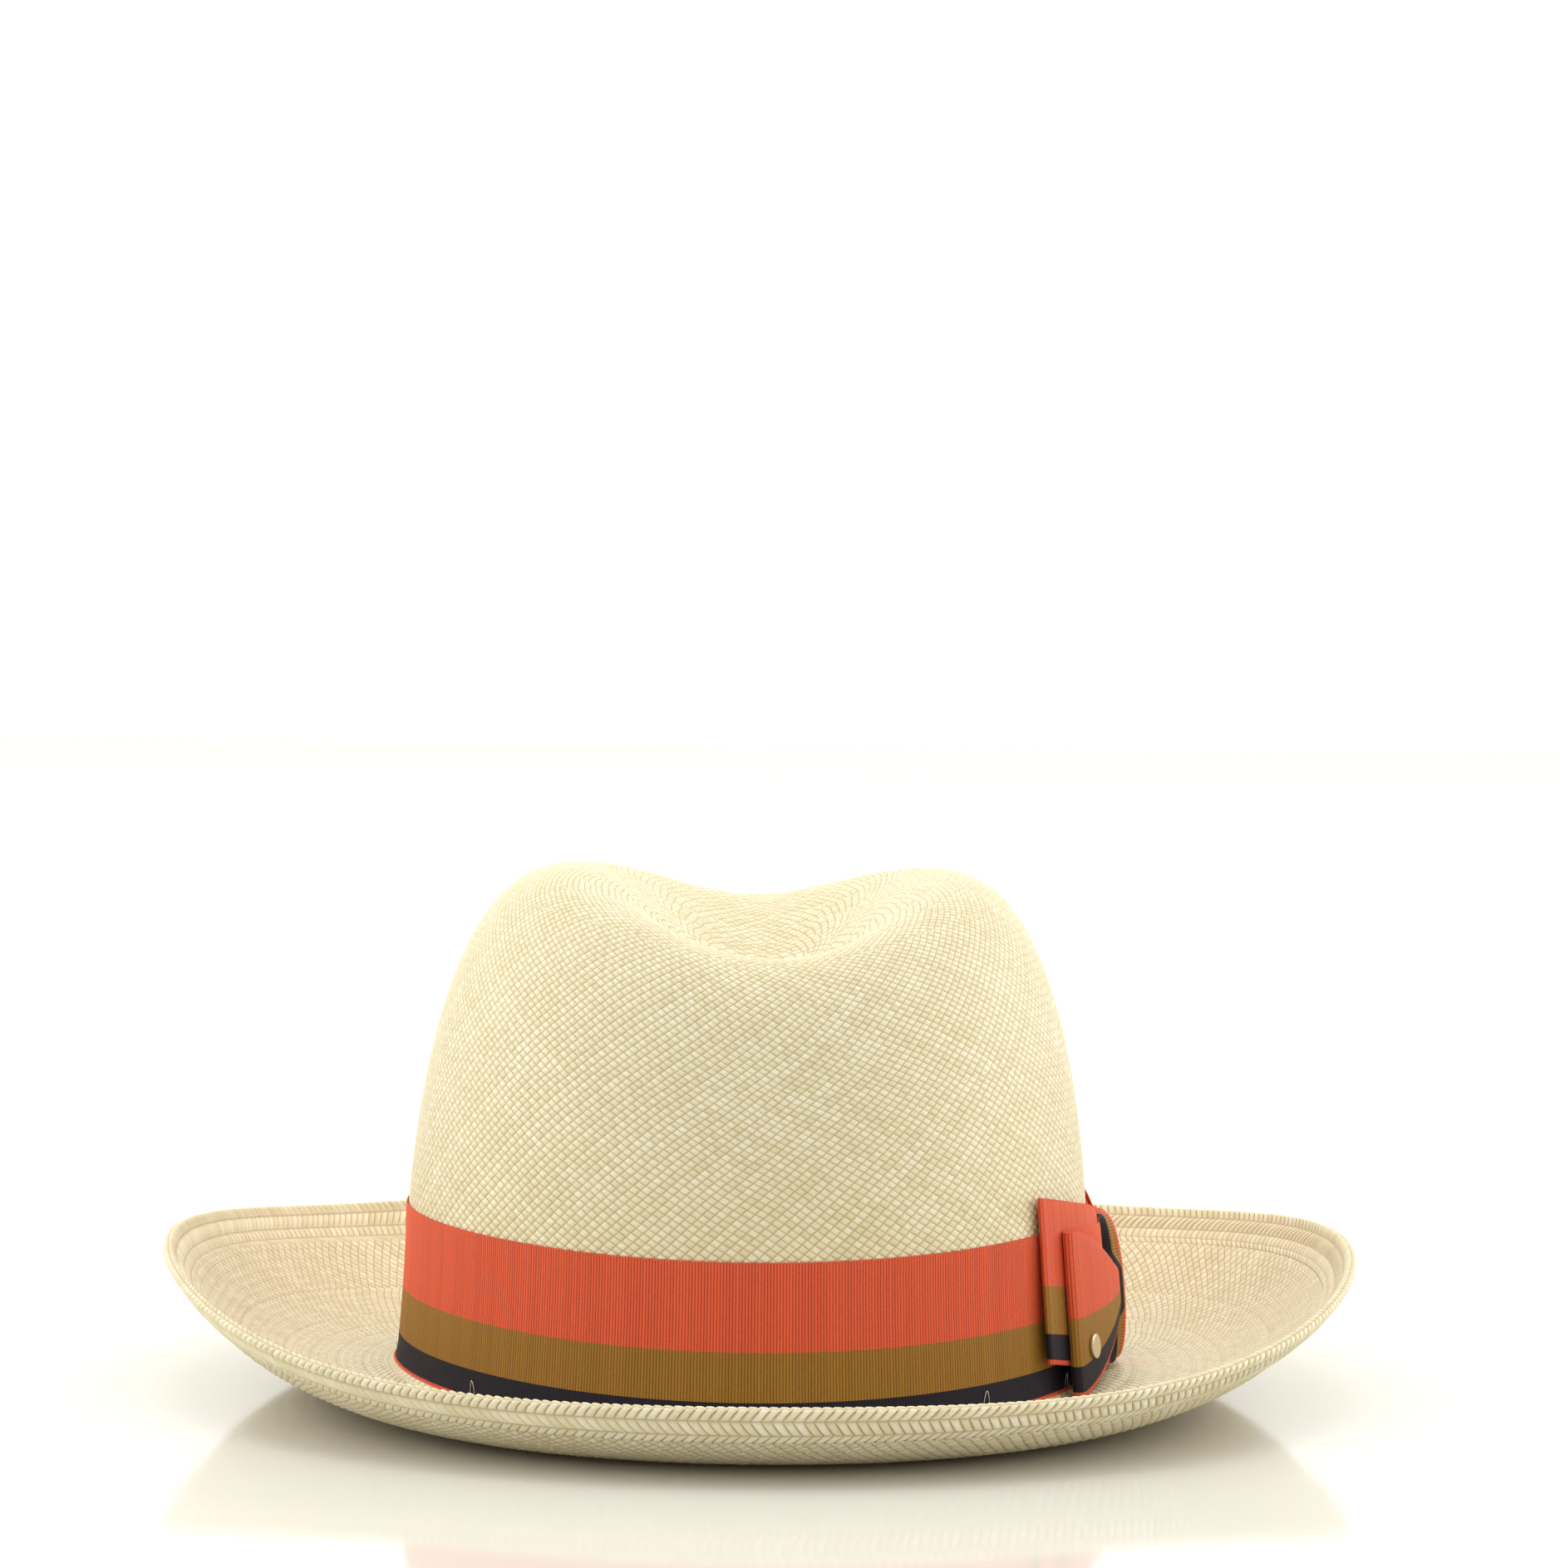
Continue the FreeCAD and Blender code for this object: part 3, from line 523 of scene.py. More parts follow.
def edgeBraid():
    columns = braid["strands"] * braid["samples"]
    strand = (np.arange(columns + 1) / braid["samples"])[None, :]
    base = turn * strand / braid["strands"]
    # place along the path from the upper face round the rim to the under face, row by row
    path, shift, rowHeight, ridge, rowPlace = [], [], [], [], []
    reachedPath, reachedShift = 0.0, 0.0
    for row, (width, slant, depth) in enumerate(braid["rows"]):
        for step in range(braid["rowSteps"]):
            share = step / braid["rowSteps"]
            path.append(reachedPath + width * share)
            shift.append(reachedShift + slant * braid["slant"] * share)
            rowHeight.append(depth * math.sin(math.pi * share) ** 0.5)
            ridge.append(0.0 if slant else 1.0)
            rowPlace.append(row + share)
        reachedPath += width
        reachedShift += slant * braid["slant"]
    path, shift = np.array(path)[:, None], np.array(shift)[:, None]
    rowHeight, ridge = np.array(rowHeight)[:, None], np.array(ridge)[:, None]
    angle = base + turn * shift / braid["strands"]
    rimRadius = braid["thickness"] / 2
    upper = braid["upperWidth"] - rimRadius * 0.3
    edge = brimReach(angle) - rimRadius
    # the cross-section: straight on the upper face, a half round at the rim, straight back below
    onTop = np.clip(path, 0, upper)
    bend = np.clip((path - upper) / rimRadius, 0, math.pi)
    below = np.maximum(path - upper - math.pi * rimRadius, 0)
    distance = edge - upper + onTop - below
    middle = brimPoint(angle, distance)
    inwards = edge - 3 + 0.5 * np.arange(len(path))[:, None] / len(path)
    normal = gridNormals(brimPoint(angle, inwards), False)
    normal *= np.sign(normal[..., 2:])
    outward = brimPoint(angle, edge + 0.3) - brimPoint(angle, edge - 0.3)
    outward /= np.linalg.norm(outward, axis=2, keepdims=True)
    phase = strand % 1
    leaf = (np.sin(math.pi * phase ** 0.75)) ** 0.7
    lift = braid["depth"] * rowHeight * (leaf * (1 - ridge) + 0.85 * ridge)
    section = np.cos(bend)[..., None] * normal + np.sin(bend)[..., None] * outward
    surface = middle - normal * rimRadius + section * (rimRadius - 0.35 + lift[..., None])
    surface = surface + normal * 0.2
    start = surface[:1] - normal[:1] * 0.8
    end = surface[-1:] + normal[-1:] * 0.6
    points = np.concatenate([start, surface, end])[:, :-1]
    v = np.array([0.0] + rowPlace + [len(braid["rows"]), 0.0])[:, None]
    uv = np.stack(np.broadcast_arrays(strand, v), axis=-1)
    piece = gridPiece("brim_edge_braid", points, uv, braidedStraw, True, True)
    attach(piece, "hat")
    return piece


edgeBraid()
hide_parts("straw_body")
print("straw done")


ribbon = {
    "width": 39.2, "thickness": 0.45, "gap": 0.15, "bandGap": 0.25, "topHeight": 43.0, "sideLift": 1.7,
    "rib": 0.8,            # pitch of the ribs, mm
    "ribDepth": 0.16, "samples": 5, "picot": 0.45,
    "stripes": (20.6, 32.2, 38.3),   # lower limits of coral, ochre and navy; a coral picot is left
}


def ribbonMaterial(name):
    # Striped grosgrain, a rayon warp over a thick cotton weft: matt, with fine ribs across that catch
    # light on their crowns, painted shade between them, and hair-fine warp threads along
    material, tree, shader = newMaterial(name)
    uv = addNode(tree, "ShaderNodeUVMap", {"uv_map": "pattern"})
    parts = addNode(tree, "ShaderNodeSeparateXYZ", None, {0: uv.outputs[0]})
    down = parts.outputs[1]
    colour = linear("#e9603f")
    for limit, shade in zip(ribbon["stripes"], ("#a2742a", "#171629", "#e9603f")):
        colour = blendColours(tree, calc(tree, "GREATER_THAN", down, limit), colour, linear(shade))
    rib = calc(tree, "FRACT", parts.outputs[0])
    ribPlace = calc(tree, "ABSOLUTE", calc(tree, "SUBTRACT", calc(tree, "MULTIPLY", rib, 2.0), 1.0))
    gap = calc(tree, "POWER", ribPlace, 3.0)
    ribTone = addNode(tree, "ShaderNodeTexWhiteNoise", {"noise_dimensions": "1D"},
                      {"W": calc(tree, "FLOOR", parts.outputs[0])}).outputs[0]
    # painted shade in the gaps between ribs, mixed with a random tone for each rib
    ribGapShade = blendColours(tree, 0.75, colour, linear("#1c0804"))
    depth = calc(tree, "ADD", calc(tree, "MULTIPLY", gap, 0.85), calc(tree, "MULTIPLY", ribTone, 0.15))
    ribShadeAndTone = blendColours(tree, depth, colour, ribGapShade)
    threads = calc(tree, "MULTIPLY", down, 4.0)   # warp threads 0.25 mm apart
    threadWave = calc(tree, "SINE", calc(tree, "MULTIPLY", threads, turn))
    threadRow = addNode(tree, "ShaderNodeCombineXYZ", None,
                        {0: calc(tree, "MULTIPLY", parts.outputs[0], 0.5), 1: threads})
    slub = noiseAt(tree, threadRow.outputs[0], 1.0, 2.0)
    shade = blendColours(tree, slub, (0.75, 0.75, 0.75, 1), (1.2, 1.2, 1.2, 1))
    final = blendColours(tree, 1.0, ribShadeAndTone, shade, "MULTIPLY")
    relief = calc(tree, "ADD", calc(tree, "MULTIPLY", threadWave, 0.2), calc(tree, "SUBTRACT", 1.0, gap))
    bump = addNode(tree, "ShaderNodeBump", None, {"Strength": 0.35, "Distance": 0.00012, "Height": relief})
    tree.links.new(final, shader.inputs["Base Color"])
    tree.links.new(bump.outputs[0], shader.inputs["Normal"])
    shader.inputs["Roughness"].default_value = 0.62
    shader.inputs["Specular IOR Level"].default_value = 0.25
    shader.inputs["Sheen Weight"].default_value = 0.05
    shader.inputs["Sheen Roughness"].default_value = 0.4
    return material


grosgrain = ribbonMaterial("grosgrain_rayon_cotton_striped")


def bandTop(angle):
    return ribbon["topHeight"] + ribbon["sideLift"] * np.cos(2 * angle)


def ribProfile(phase):
    # a row of round cords side by side
    return 1 - np.abs(2 * (phase % 1) - 1) ** 2.2


def ribbedStrip(name, place, ribs, pointAt, downSteps, closed=False, upsideDown=False):
    # A strip of ribbed ribbon of real thickness. pointAt(place, down, depth) gives a point from the
    # place along the strip, the share down its width and the height above its middle surface. Ribs
    # lift both faces, and the two woven edges stand out in little picot loops, one to a rib.
    down = np.concatenate([[0.0, 0.008], np.linspace(0.03, 0.97, downSteps), [0.992, 1.0]])
    downAll = np.concatenate([down, down[::-1]])[:, None]
    faceSign = np.concatenate([np.ones(len(down)), -np.ones(len(down))])[:, None]
    edge = np.minimum(np.minimum(downAll, 1 - downAll) / 0.03, 1)
    thin = ribbon["thickness"] / 2 * (0.45 + 0.55 * edge)
    profile = ribProfile(ribs)[None, :]
    depth = faceSign * (thin + ribbon["ribDepth"] * (profile - 0.6) * np.where(faceSign > 0, 1, 0.5))
    picot = ribbon["picot"] / ribbon["width"] * np.where(edge < 0.4, profile, 0)
    stretchDown = downAll + np.where(downAll > 0.5, picot, -picot)
    points = pointAt(place[None, :], stretchDown, depth)
    mmDown = ((1 - downAll) ** 1.5 if upsideDown else downAll) * ribbon["width"]
    u = np.concatenate([ribs, [ribs[-1] + 1 / ribbon["samples"]]]) if closed else ribs
    uv = np.stack(np.broadcast_arrays(u[None, :], mmDown), axis=-1)
    uv = np.concatenate([uv, uv[:1]])
    piece = gridPiece(name, points, uv, grosgrain, closed, True, capped=not closed)
    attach(piece, "hat")
    return piece


def arcAngle(place):
    return -place / crown["halfLength"]


bow = {
    "place": 8.0, "lean": 0.088, "baseHalfLength": 60.0, "baseSlope": 0.14, "baseDepth": 1.55,
    "baseTurn": 4.0, "basePinchReach": 25.0,
    "topHalfLength": 51.0, "topDepthEnd": 2.9, "topDepthKnot": 4.3, "topFlatEnd": 3.0,
    "pinchOuter": 9.0, "pinch": 33.0,
    "knotHalfWidth": 5.5, "knotHalfWidthEnd": 10.5, "knotTurn": 1.2, "knotAir": 0.45, "knotOverhang": 1.9,
}
baseFirst = 2 * ribbon["gap"] + ribbon["thickness"]
topFirst = baseFirst + bow["baseDepth"] + ribbon["gap"]
knotFront = topFirst + bow["topDepthKnot"] + ribbon["gap"]
bowMiddle = ribbon["topHeight"] + ribbon["sideLift"] - ribbon["width"] / 2


def hatBand():
    # the strip follows the wall a quarter of a millimetre off the straw, its ends meeting under the knot
    joint = 0.6 / crown["halfLength"]
    start, end = arcAngle(bow["place"]) + joint, arcAngle(bow["place"]) + turn - joint
    length = turn * math.sqrt((crown["halfWidth"] ** 2 + crown["halfLength"] ** 2) / 2)
    count = round(length / ribbon["rib"])
    ribs = np.arange(count * ribbon["samples"] + 1) / ribbon["samples"]
    angle = start + (end - start) * ribs / count

    def pointAt(angle, down, depth):
        height = bandTop(angle) - ribbon["width"] * down
        return wallPoint(angle, height, ribbon["bandGap"] + ribbon["thickness"] / 2 + depth)

    piece = ribbedStrip("ribbon_band", angle, ribs, pointAt, 14)
    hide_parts("hat_band")
    return piece


band = hatBand()


def bowPoint(place, height, depth):
    # a straight leaning face outside the band: along it, up, and out
    angle = arcAngle(place)
    standOff = bow["lean"] * (ribbon["topHeight"] + ribbon["sideLift"] - height)
    offset = ribbon["bandGap"] + ribbon["thickness"] + depth + standOff
    base = wallPoint(angle, crown["footHeight"] + 0 * angle, offset)
    base[..., 2] = height
    return base


def loopPath(halfLength, innerDepth, outerDepthAt, count):
    # centre line of a flat loop: along its inner layer, round a fold and back along the outer one;
    # resampled evenly so that ribs keep their pitch
    radius = (outerDepthAt(np.array(halfLength)) - innerDepth) / 2
    straight = halfLength - radius
    run = np.linspace(straight, -straight, 200)
    bend = np.linspace(0, math.pi, 24)[1:-1]
    fold = radius * np.sin(bend)
    along = np.concatenate([run, -straight - fold, run[::-1], straight + fold])
    depth = np.concatenate([np.full(200, innerDepth), innerDepth + radius * (1 - np.cos(bend)),
                            outerDepthAt(np.abs(run[::-1])), innerDepth + radius * (1 + np.cos(bend))])
    along, depth = np.append(along, along[0]), np.append(depth, depth[0])
    length = np.concatenate([[0], np.cumsum(np.hypot(np.diff(along), np.diff(depth)))])
    even = np.linspace(0, length[-1], count + 1)[:-1]
    return np.interp(even, length, along), np.interp(even, length, depth), length[-1]


def loopPiece(name, halfLength, innerDepth, outerDepthAt, heightAt):
    # A closed loop of ribbon. heightAt(along, outerShare, down) gives the height of a point of its width.
    length = loopPath(halfLength, innerDepth, outerDepthAt, 8)[2]
    count = round(length / ribbon["rib"])
    columns = count * ribbon["samples"]
    along, depth, length = loopPath(halfLength, innerDepth, outerDepthAt, columns)
    before, after = np.roll(along, 1), np.roll(along, -1)
    runAlong, runDepth = after - before, np.roll(depth, -1) - np.roll(depth, 1)
    size = np.hypot(runAlong, runDepth)
    outAlong, outDepth = runDepth / size, -runAlong / size     # the loop's outside
    outerShare = np.clip((depth - innerDepth) / (outerDepthAt(np.abs(along)) - innerDepth), 0, 1)
    ribs = np.arange(columns) / ribbon["samples"]

    def pointAt(number, down, lift):
        spot = along[number] - outAlong[number] * -lift
        return bowPoint(bow["place"] + spot, heightAt(along[number], outerShare[number], down),
                        depth[number] + outDepth[number] * lift)

    piece = ribbedStrip(name, np.arange(columns), ribs, pointAt, 16, closed=True)
    return piece, length


def baseLoop():
    def outerDepth(along):
        return baseFirst + bow["baseDepth"] - ribbon["thickness"] / 2 + 0 * along

    def heightAt(along, outerShare, down):
        away = np.sqrt(along ** 2 + bow["baseTurn"] ** 2) - bow["baseTurn"]
        opened = smoothStep(np.abs(along) / bow["basePinchReach"])
        tall = bow["pinch"] + (ribbon["width"] - bow["pinch"]) * opened
        return bowMiddle + bow["baseSlope"] * away + (0.5 - down) * tall

    innerDepth = baseFirst + ribbon["thickness"] / 2
    return loopPiece("bow_loop_under", bow["baseHalfLength"], innerDepth, outerDepth, heightAt)


def topLoop():
    inner = topFirst + ribbon["thickness"] / 2

    def outerDepth(along):
        share = np.minimum(along / bow["topHalfLength"], 1)
        deep = bow["topDepthKnot"] + (bow["topDepthEnd"] - bow["topDepthKnot"]) * share
        return topFirst + deep - ribbon["thickness"] / 2

    def heightAt(along, outerShare, down):
        reach = bow["topHalfLength"] - bow["knotHalfWidthEnd"] - bow["topFlatEnd"]
        away = np.clip((np.abs(along) - bow["knotHalfWidth"]) / (reach + bow["knotHalfWidth"]), 0, 1)
        share = 0.5 * away + 0.5 * smoothStep(away)
        narrow = bow["pinch"] + (bow["pinchOuter"] - bow["pinch"]) * outerShare
        tall = narrow + (ribbon["width"] - narrow) * share
        drop = ribbon["topHeight"] + ribbon["sideLift"] - bandTop(arcAngle(bow["place"] + along))
        return bowMiddle - drop + (0.5 - down) * tall

    return loopPiece("bow_loop_over", bow["topHalfLength"], inner, outerDepth, heightAt)


for maker, node in ((baseLoop, "bow_base_loop"), (topLoop, "bow_top_loop")):
    loop, loopLength = maker()
    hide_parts(node)


def bowKnot():
    # a gathered strip wound upright round the middle: straight behind, a bulging curve in front,
    # narrow in the middle and flared at top and bottom, with soft lengthwise pleats
    half = bow["pinch"] / 2 + bow["knotOverhang"]
    back = ribbon["gap"] + ribbon["thickness"] / 2
    front = knotFront + bow["knotAir"]
    over = back + bow["knotTurn"]
    rise = np.linspace(bow["knotTurn"] / 2 - half, half - bow["knotTurn"] / 2, 80)
    bend = np.radians(np.linspace(85, -85, 160))
    path = np.concatenate([rise, half * np.sin(bend)])
    depth = np.concatenate([np.full(80, back), over + (front - over) * np.cos(bend) ** 0.5])
    path, depth = np.append(path, path[0]), np.append(depth, depth[0])
    length = np.concatenate([[0], np.cumsum(np.hypot(np.diff(path), np.diff(depth)))])
    count = round(length[-1] / ribbon["rib"])
    columns = count * ribbon["samples"]
    even = np.linspace(0, length[-1], columns + 1)[:-1]
    height, deep = np.interp(even, length, path), np.interp(even, length, depth)
    runUp, runDepth = np.roll(height, -1) - np.roll(height, 1), np.roll(deep, -1) - np.roll(deep, 1)
    size = np.hypot(runUp, runDepth)
    outUp, outDepth = -runDepth / size, runUp / size
    inFront = smoothStep((deep - back - 0.4) / 2)
    spread = (height / half) ** 2
    halfWidth = bow["knotHalfWidth"] + (bow["knotHalfWidthEnd"] - bow["knotHalfWidth"]) * spread * inFront
    ribs = np.arange(columns) / ribbon["samples"]

    # In front the strip's middle stands out as a ridge and its two edges curl in: onto the outer loop
    # at middle height, and onto the loop under it above and below
    onLoop = 1 - smoothStep((np.abs(height) - bow["pinchOuter"] / 2) / 5)
    edgeDeep = topFirst + 0.3 + (knotFront - topFirst - 0.6) * onLoop
    curl = np.clip(deep - edgeDeep, 0, None)

    def pointAt(number, down, lift):
        across = 1 - 2 * down
        pleat = 0.35 * np.cos(turn * 3.5 * down) * inFront[number]
        inward = curl[number] * np.abs(across) ** 2.2
        return bowPoint(bow["place"] + across * halfWidth[number],
                        bowMiddle + height[number] + outUp[number] * (lift + pleat),
                        deep[number] - inward + outDepth[number] * (lift + pleat))

    piece = ribbedStrip("bow_knot_wrap", np.arange(columns), ribs, pointAt, 24,
                        closed=True, upsideDown=True)
    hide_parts("bow_knot")
    return piece


bowKnot()
print("ribbon done")


def metalMaterial(name, colour, roughness):
    # Plated steel, struck and brushed round its middle: fine turned lines that stretch the highlight
    material, tree, shader = newMaterial(name)
    place = addNode(tree, "ShaderNodeTexCoord").outputs["Object"]
    grain = noiseAt(tree, place, 4000.0, 3.0)
    spots = noiseAt(tree, place, 600.0, 2.0)
    base = blendColours(tree, calc(tree, "MULTIPLY", spots, 0.3), linear(colour), linear("#8d8069"))
    tree.links.new(base, shader.inputs["Base Color"])
    rough = calc(tree, "ADD", calc(tree, "MULTIPLY", spots, 0.15), roughness)
    tree.links.new(rough, shader.inputs["Roughness"])
    bump = addNode(tree, "ShaderNodeBump", None, {"Strength": 0.2, "Distance": 0.00003, "Height": grain})
    tree.links.new(bump.outputs[0], shader.inputs["Normal"])
    shader.inputs["Metallic"].default_value = 1.0
    return material


def paint(node, material):
    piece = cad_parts[node]
    piece.data.materials.clear()
    piece.data.materials.append(material)


paint("badge", metalMaterial("steel_nickel_plated_struck", "#e6dcc6", 0.26))
paint("badge_clutch", metalMaterial("steel_brass_plated_stamped", "#c9a860", 0.35))


def leatherMaterial():
    # Sheepskin, vegetable tanned and rolled: small soft grain, a dull wax gloss, darker in the pores
    material, tree, shader = newMaterial("sheepskin_leather_vegetable_tanned")
    place = addNode(tree, "ShaderNodeTexCoord").outputs["Object"]
    pebbles = addNode(tree, "ShaderNodeTexVoronoi", {"feature": "DISTANCE_TO_EDGE"},
                      {"Vector": place, "Scale": 900.0}).outputs["Distance"]
    pores = calc(tree, "MINIMUM", calc(tree, "MULTIPLY", pebbles, 6.0), 1.0)
    cloud = noiseAt(tree, place, 40.0, 3.0)
    base = blendColours(tree, cloud, linear("#c79a66"), linear("#b58550"))
    tree.links.new(blendColours(tree, pores, linear("#8a5f35"), base), shader.inputs["Base Color"])
    bump = addNode(tree, "ShaderNodeBump", None, {"Strength": 0.4, "Distance": 0.0001, "Height": pores})
    tree.links.new(bump.outputs[0], shader.inputs["Normal"])
    shader.inputs["Roughness"].default_value = 0.48
    return material


def threadedMaterial(name, first, second, perMetre, roughness):
    # A plain-woven tape or twisted thread: a fine crossed grid of threads, matt
    material, tree, shader = newMaterial(name)
    place = addNode(tree, "ShaderNodeTexCoord").outputs["Object"]
    weaveWave = addNode(tree, "ShaderNodeTexWave", {"bands_direction": "DIAGONAL"},
                        {"Vector": place, "Scale": perMetre, "Distortion": 1.5}).outputs["Color"]
    height = addNode(tree, "ShaderNodeRGBToBW", None, {0: weaveWave}).outputs[0]
    tree.links.new(blendColours(tree, height, linear(first), linear(second)), shader.inputs["Base Color"])
    bump = addNode(tree, "ShaderNodeBump", None, {"Strength": 0.4, "Distance": 0.0001, "Height": height})
    tree.links.new(bump.outputs[0], shader.inputs["Normal"])
    shader.inputs["Roughness"].default_value = roughness
    return material


leather = {"thickness": 1.0, "gap": 0.8, "top": 41.0, "rise": 4.6, "joint": 0.8, "stitches": 96}
leatherOffset = -(strawThickness + leather["gap"])
leatherSkin = leatherMaterial()
cottonThread = threadedMaterial("cotton_thread_waxed_cream", "#efe3c6", "#cdb98e", 900.0, 0.6)
oiledTape = threadedMaterial("cotton_tape_oiled", "#b9935f", "#946f42", 500.0, 0.55)
cane = threadedMaterial("rattan_cane_reed", "#cfae74", "#a98551", 300.0, 0.45)
satinRibbon = threadedMaterial("viscose_ribbon_navy", "#2b2a40", "#1b1a2b", 700.0, 0.5)


def leatherLow(angle):
    return cornerHeight(angle) + leather["rise"]


def sweatband():
    # a strip of leather round the inside with skived edges, a pressed line near the top and a slight wave
    joint = leather["joint"] / 2 / crown["halfLength"]
    angle = np.linspace(math.pi / 2 + joint, math.pi * 2.5 - joint, 721)[None, :]
    down = np.concatenate([np.linspace(0, 0.03, 4), np.linspace(0.045, 0.97, 26), np.linspace(0.98, 1, 4)])
    down = down[:, None]
    low = leatherLow(angle)
    edge = np.minimum(np.minimum(down, 1 - down) / 0.03, 1)
    half = leather["thickness"] / 2 * np.sqrt(1 - (1 - edge) ** 2 * 0.8)
    groove = 0.16 * np.exp(-((down - 0.9) / 0.012) ** 2)
    wave = 0.15 * np.sin(angle * 9) * (down ** 2)
    middle = leatherOffset - leather["thickness"] / 2
    height = low + (leather["top"] - low) * down
    outer = wallPoint(angle, height, middle + half)
    inner = wallPoint(angle, height, middle - half + groove + wave * 0.3)
    points = np.concatenate([inner, outer[::-1]])
    length = crown["halfLength"] * angle
    uv = np.stack(np.broadcast_arrays(length, down * 36), axis=-1)
    uv = np.concatenate([uv, uv[::-1], uv[:1]])
    piece = gridPiece("sweatband_leather", points, uv, leatherSkin, False, True, capped=True, flip=True)
    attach(piece, "hat")
    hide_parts("sweatband")
    return piece


sweatbandPiece = sweatband()
paint("sweatband_reed", cane)


def reedTape():
    # cotton tape folded round the reed, its flange flat between the straw and the leather, both
    # edges frayed into a slight wave
    tape = {"top": 13.0, "thickness": 0.45, "gap": 0.15, "reed": 0.7}
    angle = np.linspace(0, turn, 721)[None, :-1]
    low = leatherLow(angle)
    centre = wallPoint(angle, low, leatherOffset - leather["thickness"] / 2)
    centre[..., 2] -= tape["reed"] + tape["thickness"] + 2 * tape["gap"]
    out = point(np.cos(angle) / crown["halfWidth"], np.sin(angle) / crown["halfLength"], 0 * angle)
    out /= np.linalg.norm(out, axis=2, keepdims=True)
    share = np.linspace(1, 0.05, 12)[:, None]
    height = centre[..., 2] + (tape["top"] + 0.2 * np.sin(60 * angle) - centre[..., 2]) * share
    bend = np.radians(np.linspace(0, -215, 22))[:, None, None]
    direction = out * np.cos(bend) + np.array([0, 0, 1.0]) * np.sin(bend)
    layers = []
    for depth in (0, tape["thickness"]):
        flange = wallPoint(angle, height, leatherOffset + tape["gap"] + depth)
        layers.append(np.concatenate([flange, centre + direction * (tape["reed"] + tape["gap"] + depth)]))
    points = np.concatenate([layers[1], layers[0][::-1]])
    uv = np.zeros((len(points) + 1, points.shape[1] + 1, 2))
    piece = gridPiece("reed_tape_fold", points, uv, oiledTape, True, True, flip=True)
    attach(piece, "hat")
    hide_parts("reed_tape")


reedTape()


def thread(name, lines, radius, material, node, sides=8):
    # short lengths of thread with round ends: every line is a small set of points (count, points, 3)
    count, steps = lines.shape[:2]
    along = np.gradient(lines, axis=1)
    along /= np.linalg.norm(along, axis=2, keepdims=True)
    sideways = np.cross(along, np.array([0.0, 0.0, 1.0]))
    sideways /= np.maximum(np.linalg.norm(sideways, axis=2, keepdims=True), 1e-9)
    upward = np.cross(sideways, along)
    place = np.linspace(-1, 1, steps)
    taper = np.sqrt(np.clip(1 - np.abs(place) ** 6, 0.04, 1)) * radius
    ring = (turn * np.arange(sides) / sides)[None, None, :, None]
    points = (lines[:, :, None] + taper[None, :, None, None]
              * (np.cos(ring) * sideways[:, :, None] + np.sin(ring) * upward[:, :, None]))
    index = np.arange(count * steps * sides).reshape(count, steps, sides)
    nextRing = np.roll(index, -1, axis=2)
    corners = [index[:, :-1], nextRing[:, :-1], nextRing[:, 1:], index[:, 1:]]
    quads = np.stack(corners, axis=-1).reshape(-1, 4)
    ends = np.concatenate([index[:, 0, ::-1], index[:, -1]])
    starts = np.concatenate([np.arange(len(quads)) * 4, quads.size + np.arange(len(ends)) * sides])
    mesh = filledMesh(name, points, np.concatenate([quads.ravel(), ends.ravel()]), starts)
    mesh.materials.append(material)
    piece = bpy.data.objects.new(name, mesh)
    bpy.context.scene.collection.objects.link(piece)
    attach(piece, "hat")
    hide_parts(node)
    return piece


def sweatbandStitches():
    # slanted stitches that dip into the leather at both ends
    middle = turn * (np.arange(leather["stitches"]) + 0.5) / leather["stitches"]
    share = np.linspace(-1, 1, 9)[None, :]
    angle = middle[:, None] + share * 1.19 / crown["halfLength"]
    height = leatherLow(middle)[:, None] + 2.0 + share * 1.19
    lift = 0.3 * (1 - share ** 2) - 0.15
    lines = wallPoint(angle, height, leatherOffset - leather["thickness"] - lift)
    return thread("sweatband_stitch_row", lines, 0.25, cottonThread, "sweatband_stitches")


sweatbandStitches()


def clearThreadMaterial():
    # Nylon thread, drawn and clear: a bright thin line that shows what is behind it
    material, tree, shader = newMaterial("nylon_thread_clear_drawn")
    place = addNode(tree, "ShaderNodeTexCoord").outputs["Object"]
    tree.links.new(blendColours(tree, noiseAt(tree, place, 900.0), linear("#efeae2"), linear("#ffffff")),
                   shader.inputs["Base Color"])
    shader.inputs["Roughness"].default_value = 0.15
    shader.inputs["IOR"].default_value = 1.53
    shader.inputs["Transmission Weight"].default_value = 0.6
    return material


def bandTacks():
    # small loops of clear thread that come out of the ribbon, arch and go into the straw below
    degrees = np.radians(np.array([-118, -52, -30, 20, 60, 100, 140, 180, 220]))
    share = np.linspace(0, 1, 15)[None, :]
    wide = np.array([1.0, 1.6, 1.2, 0.8, 1.4, 1.0, 1.5, 0.9, 1.3])[:, None]
    angle = degrees[:, None] + 0.016 * wide * (share - 0.5)
    low = bandTop(degrees)[:, None] - ribbon["width"]
    height = low + 0.4 + 3.2 * wide * np.sin(math.pi * share) ** 0.7
    out = 0.72 + 0.55 * np.sin(math.pi * share)
    lines = wallPoint(angle, height, out)
    return thread("band_tack_threads", lines, 0.09, clearThreadMaterial(), "band_tacks", 6)


bandTacks()


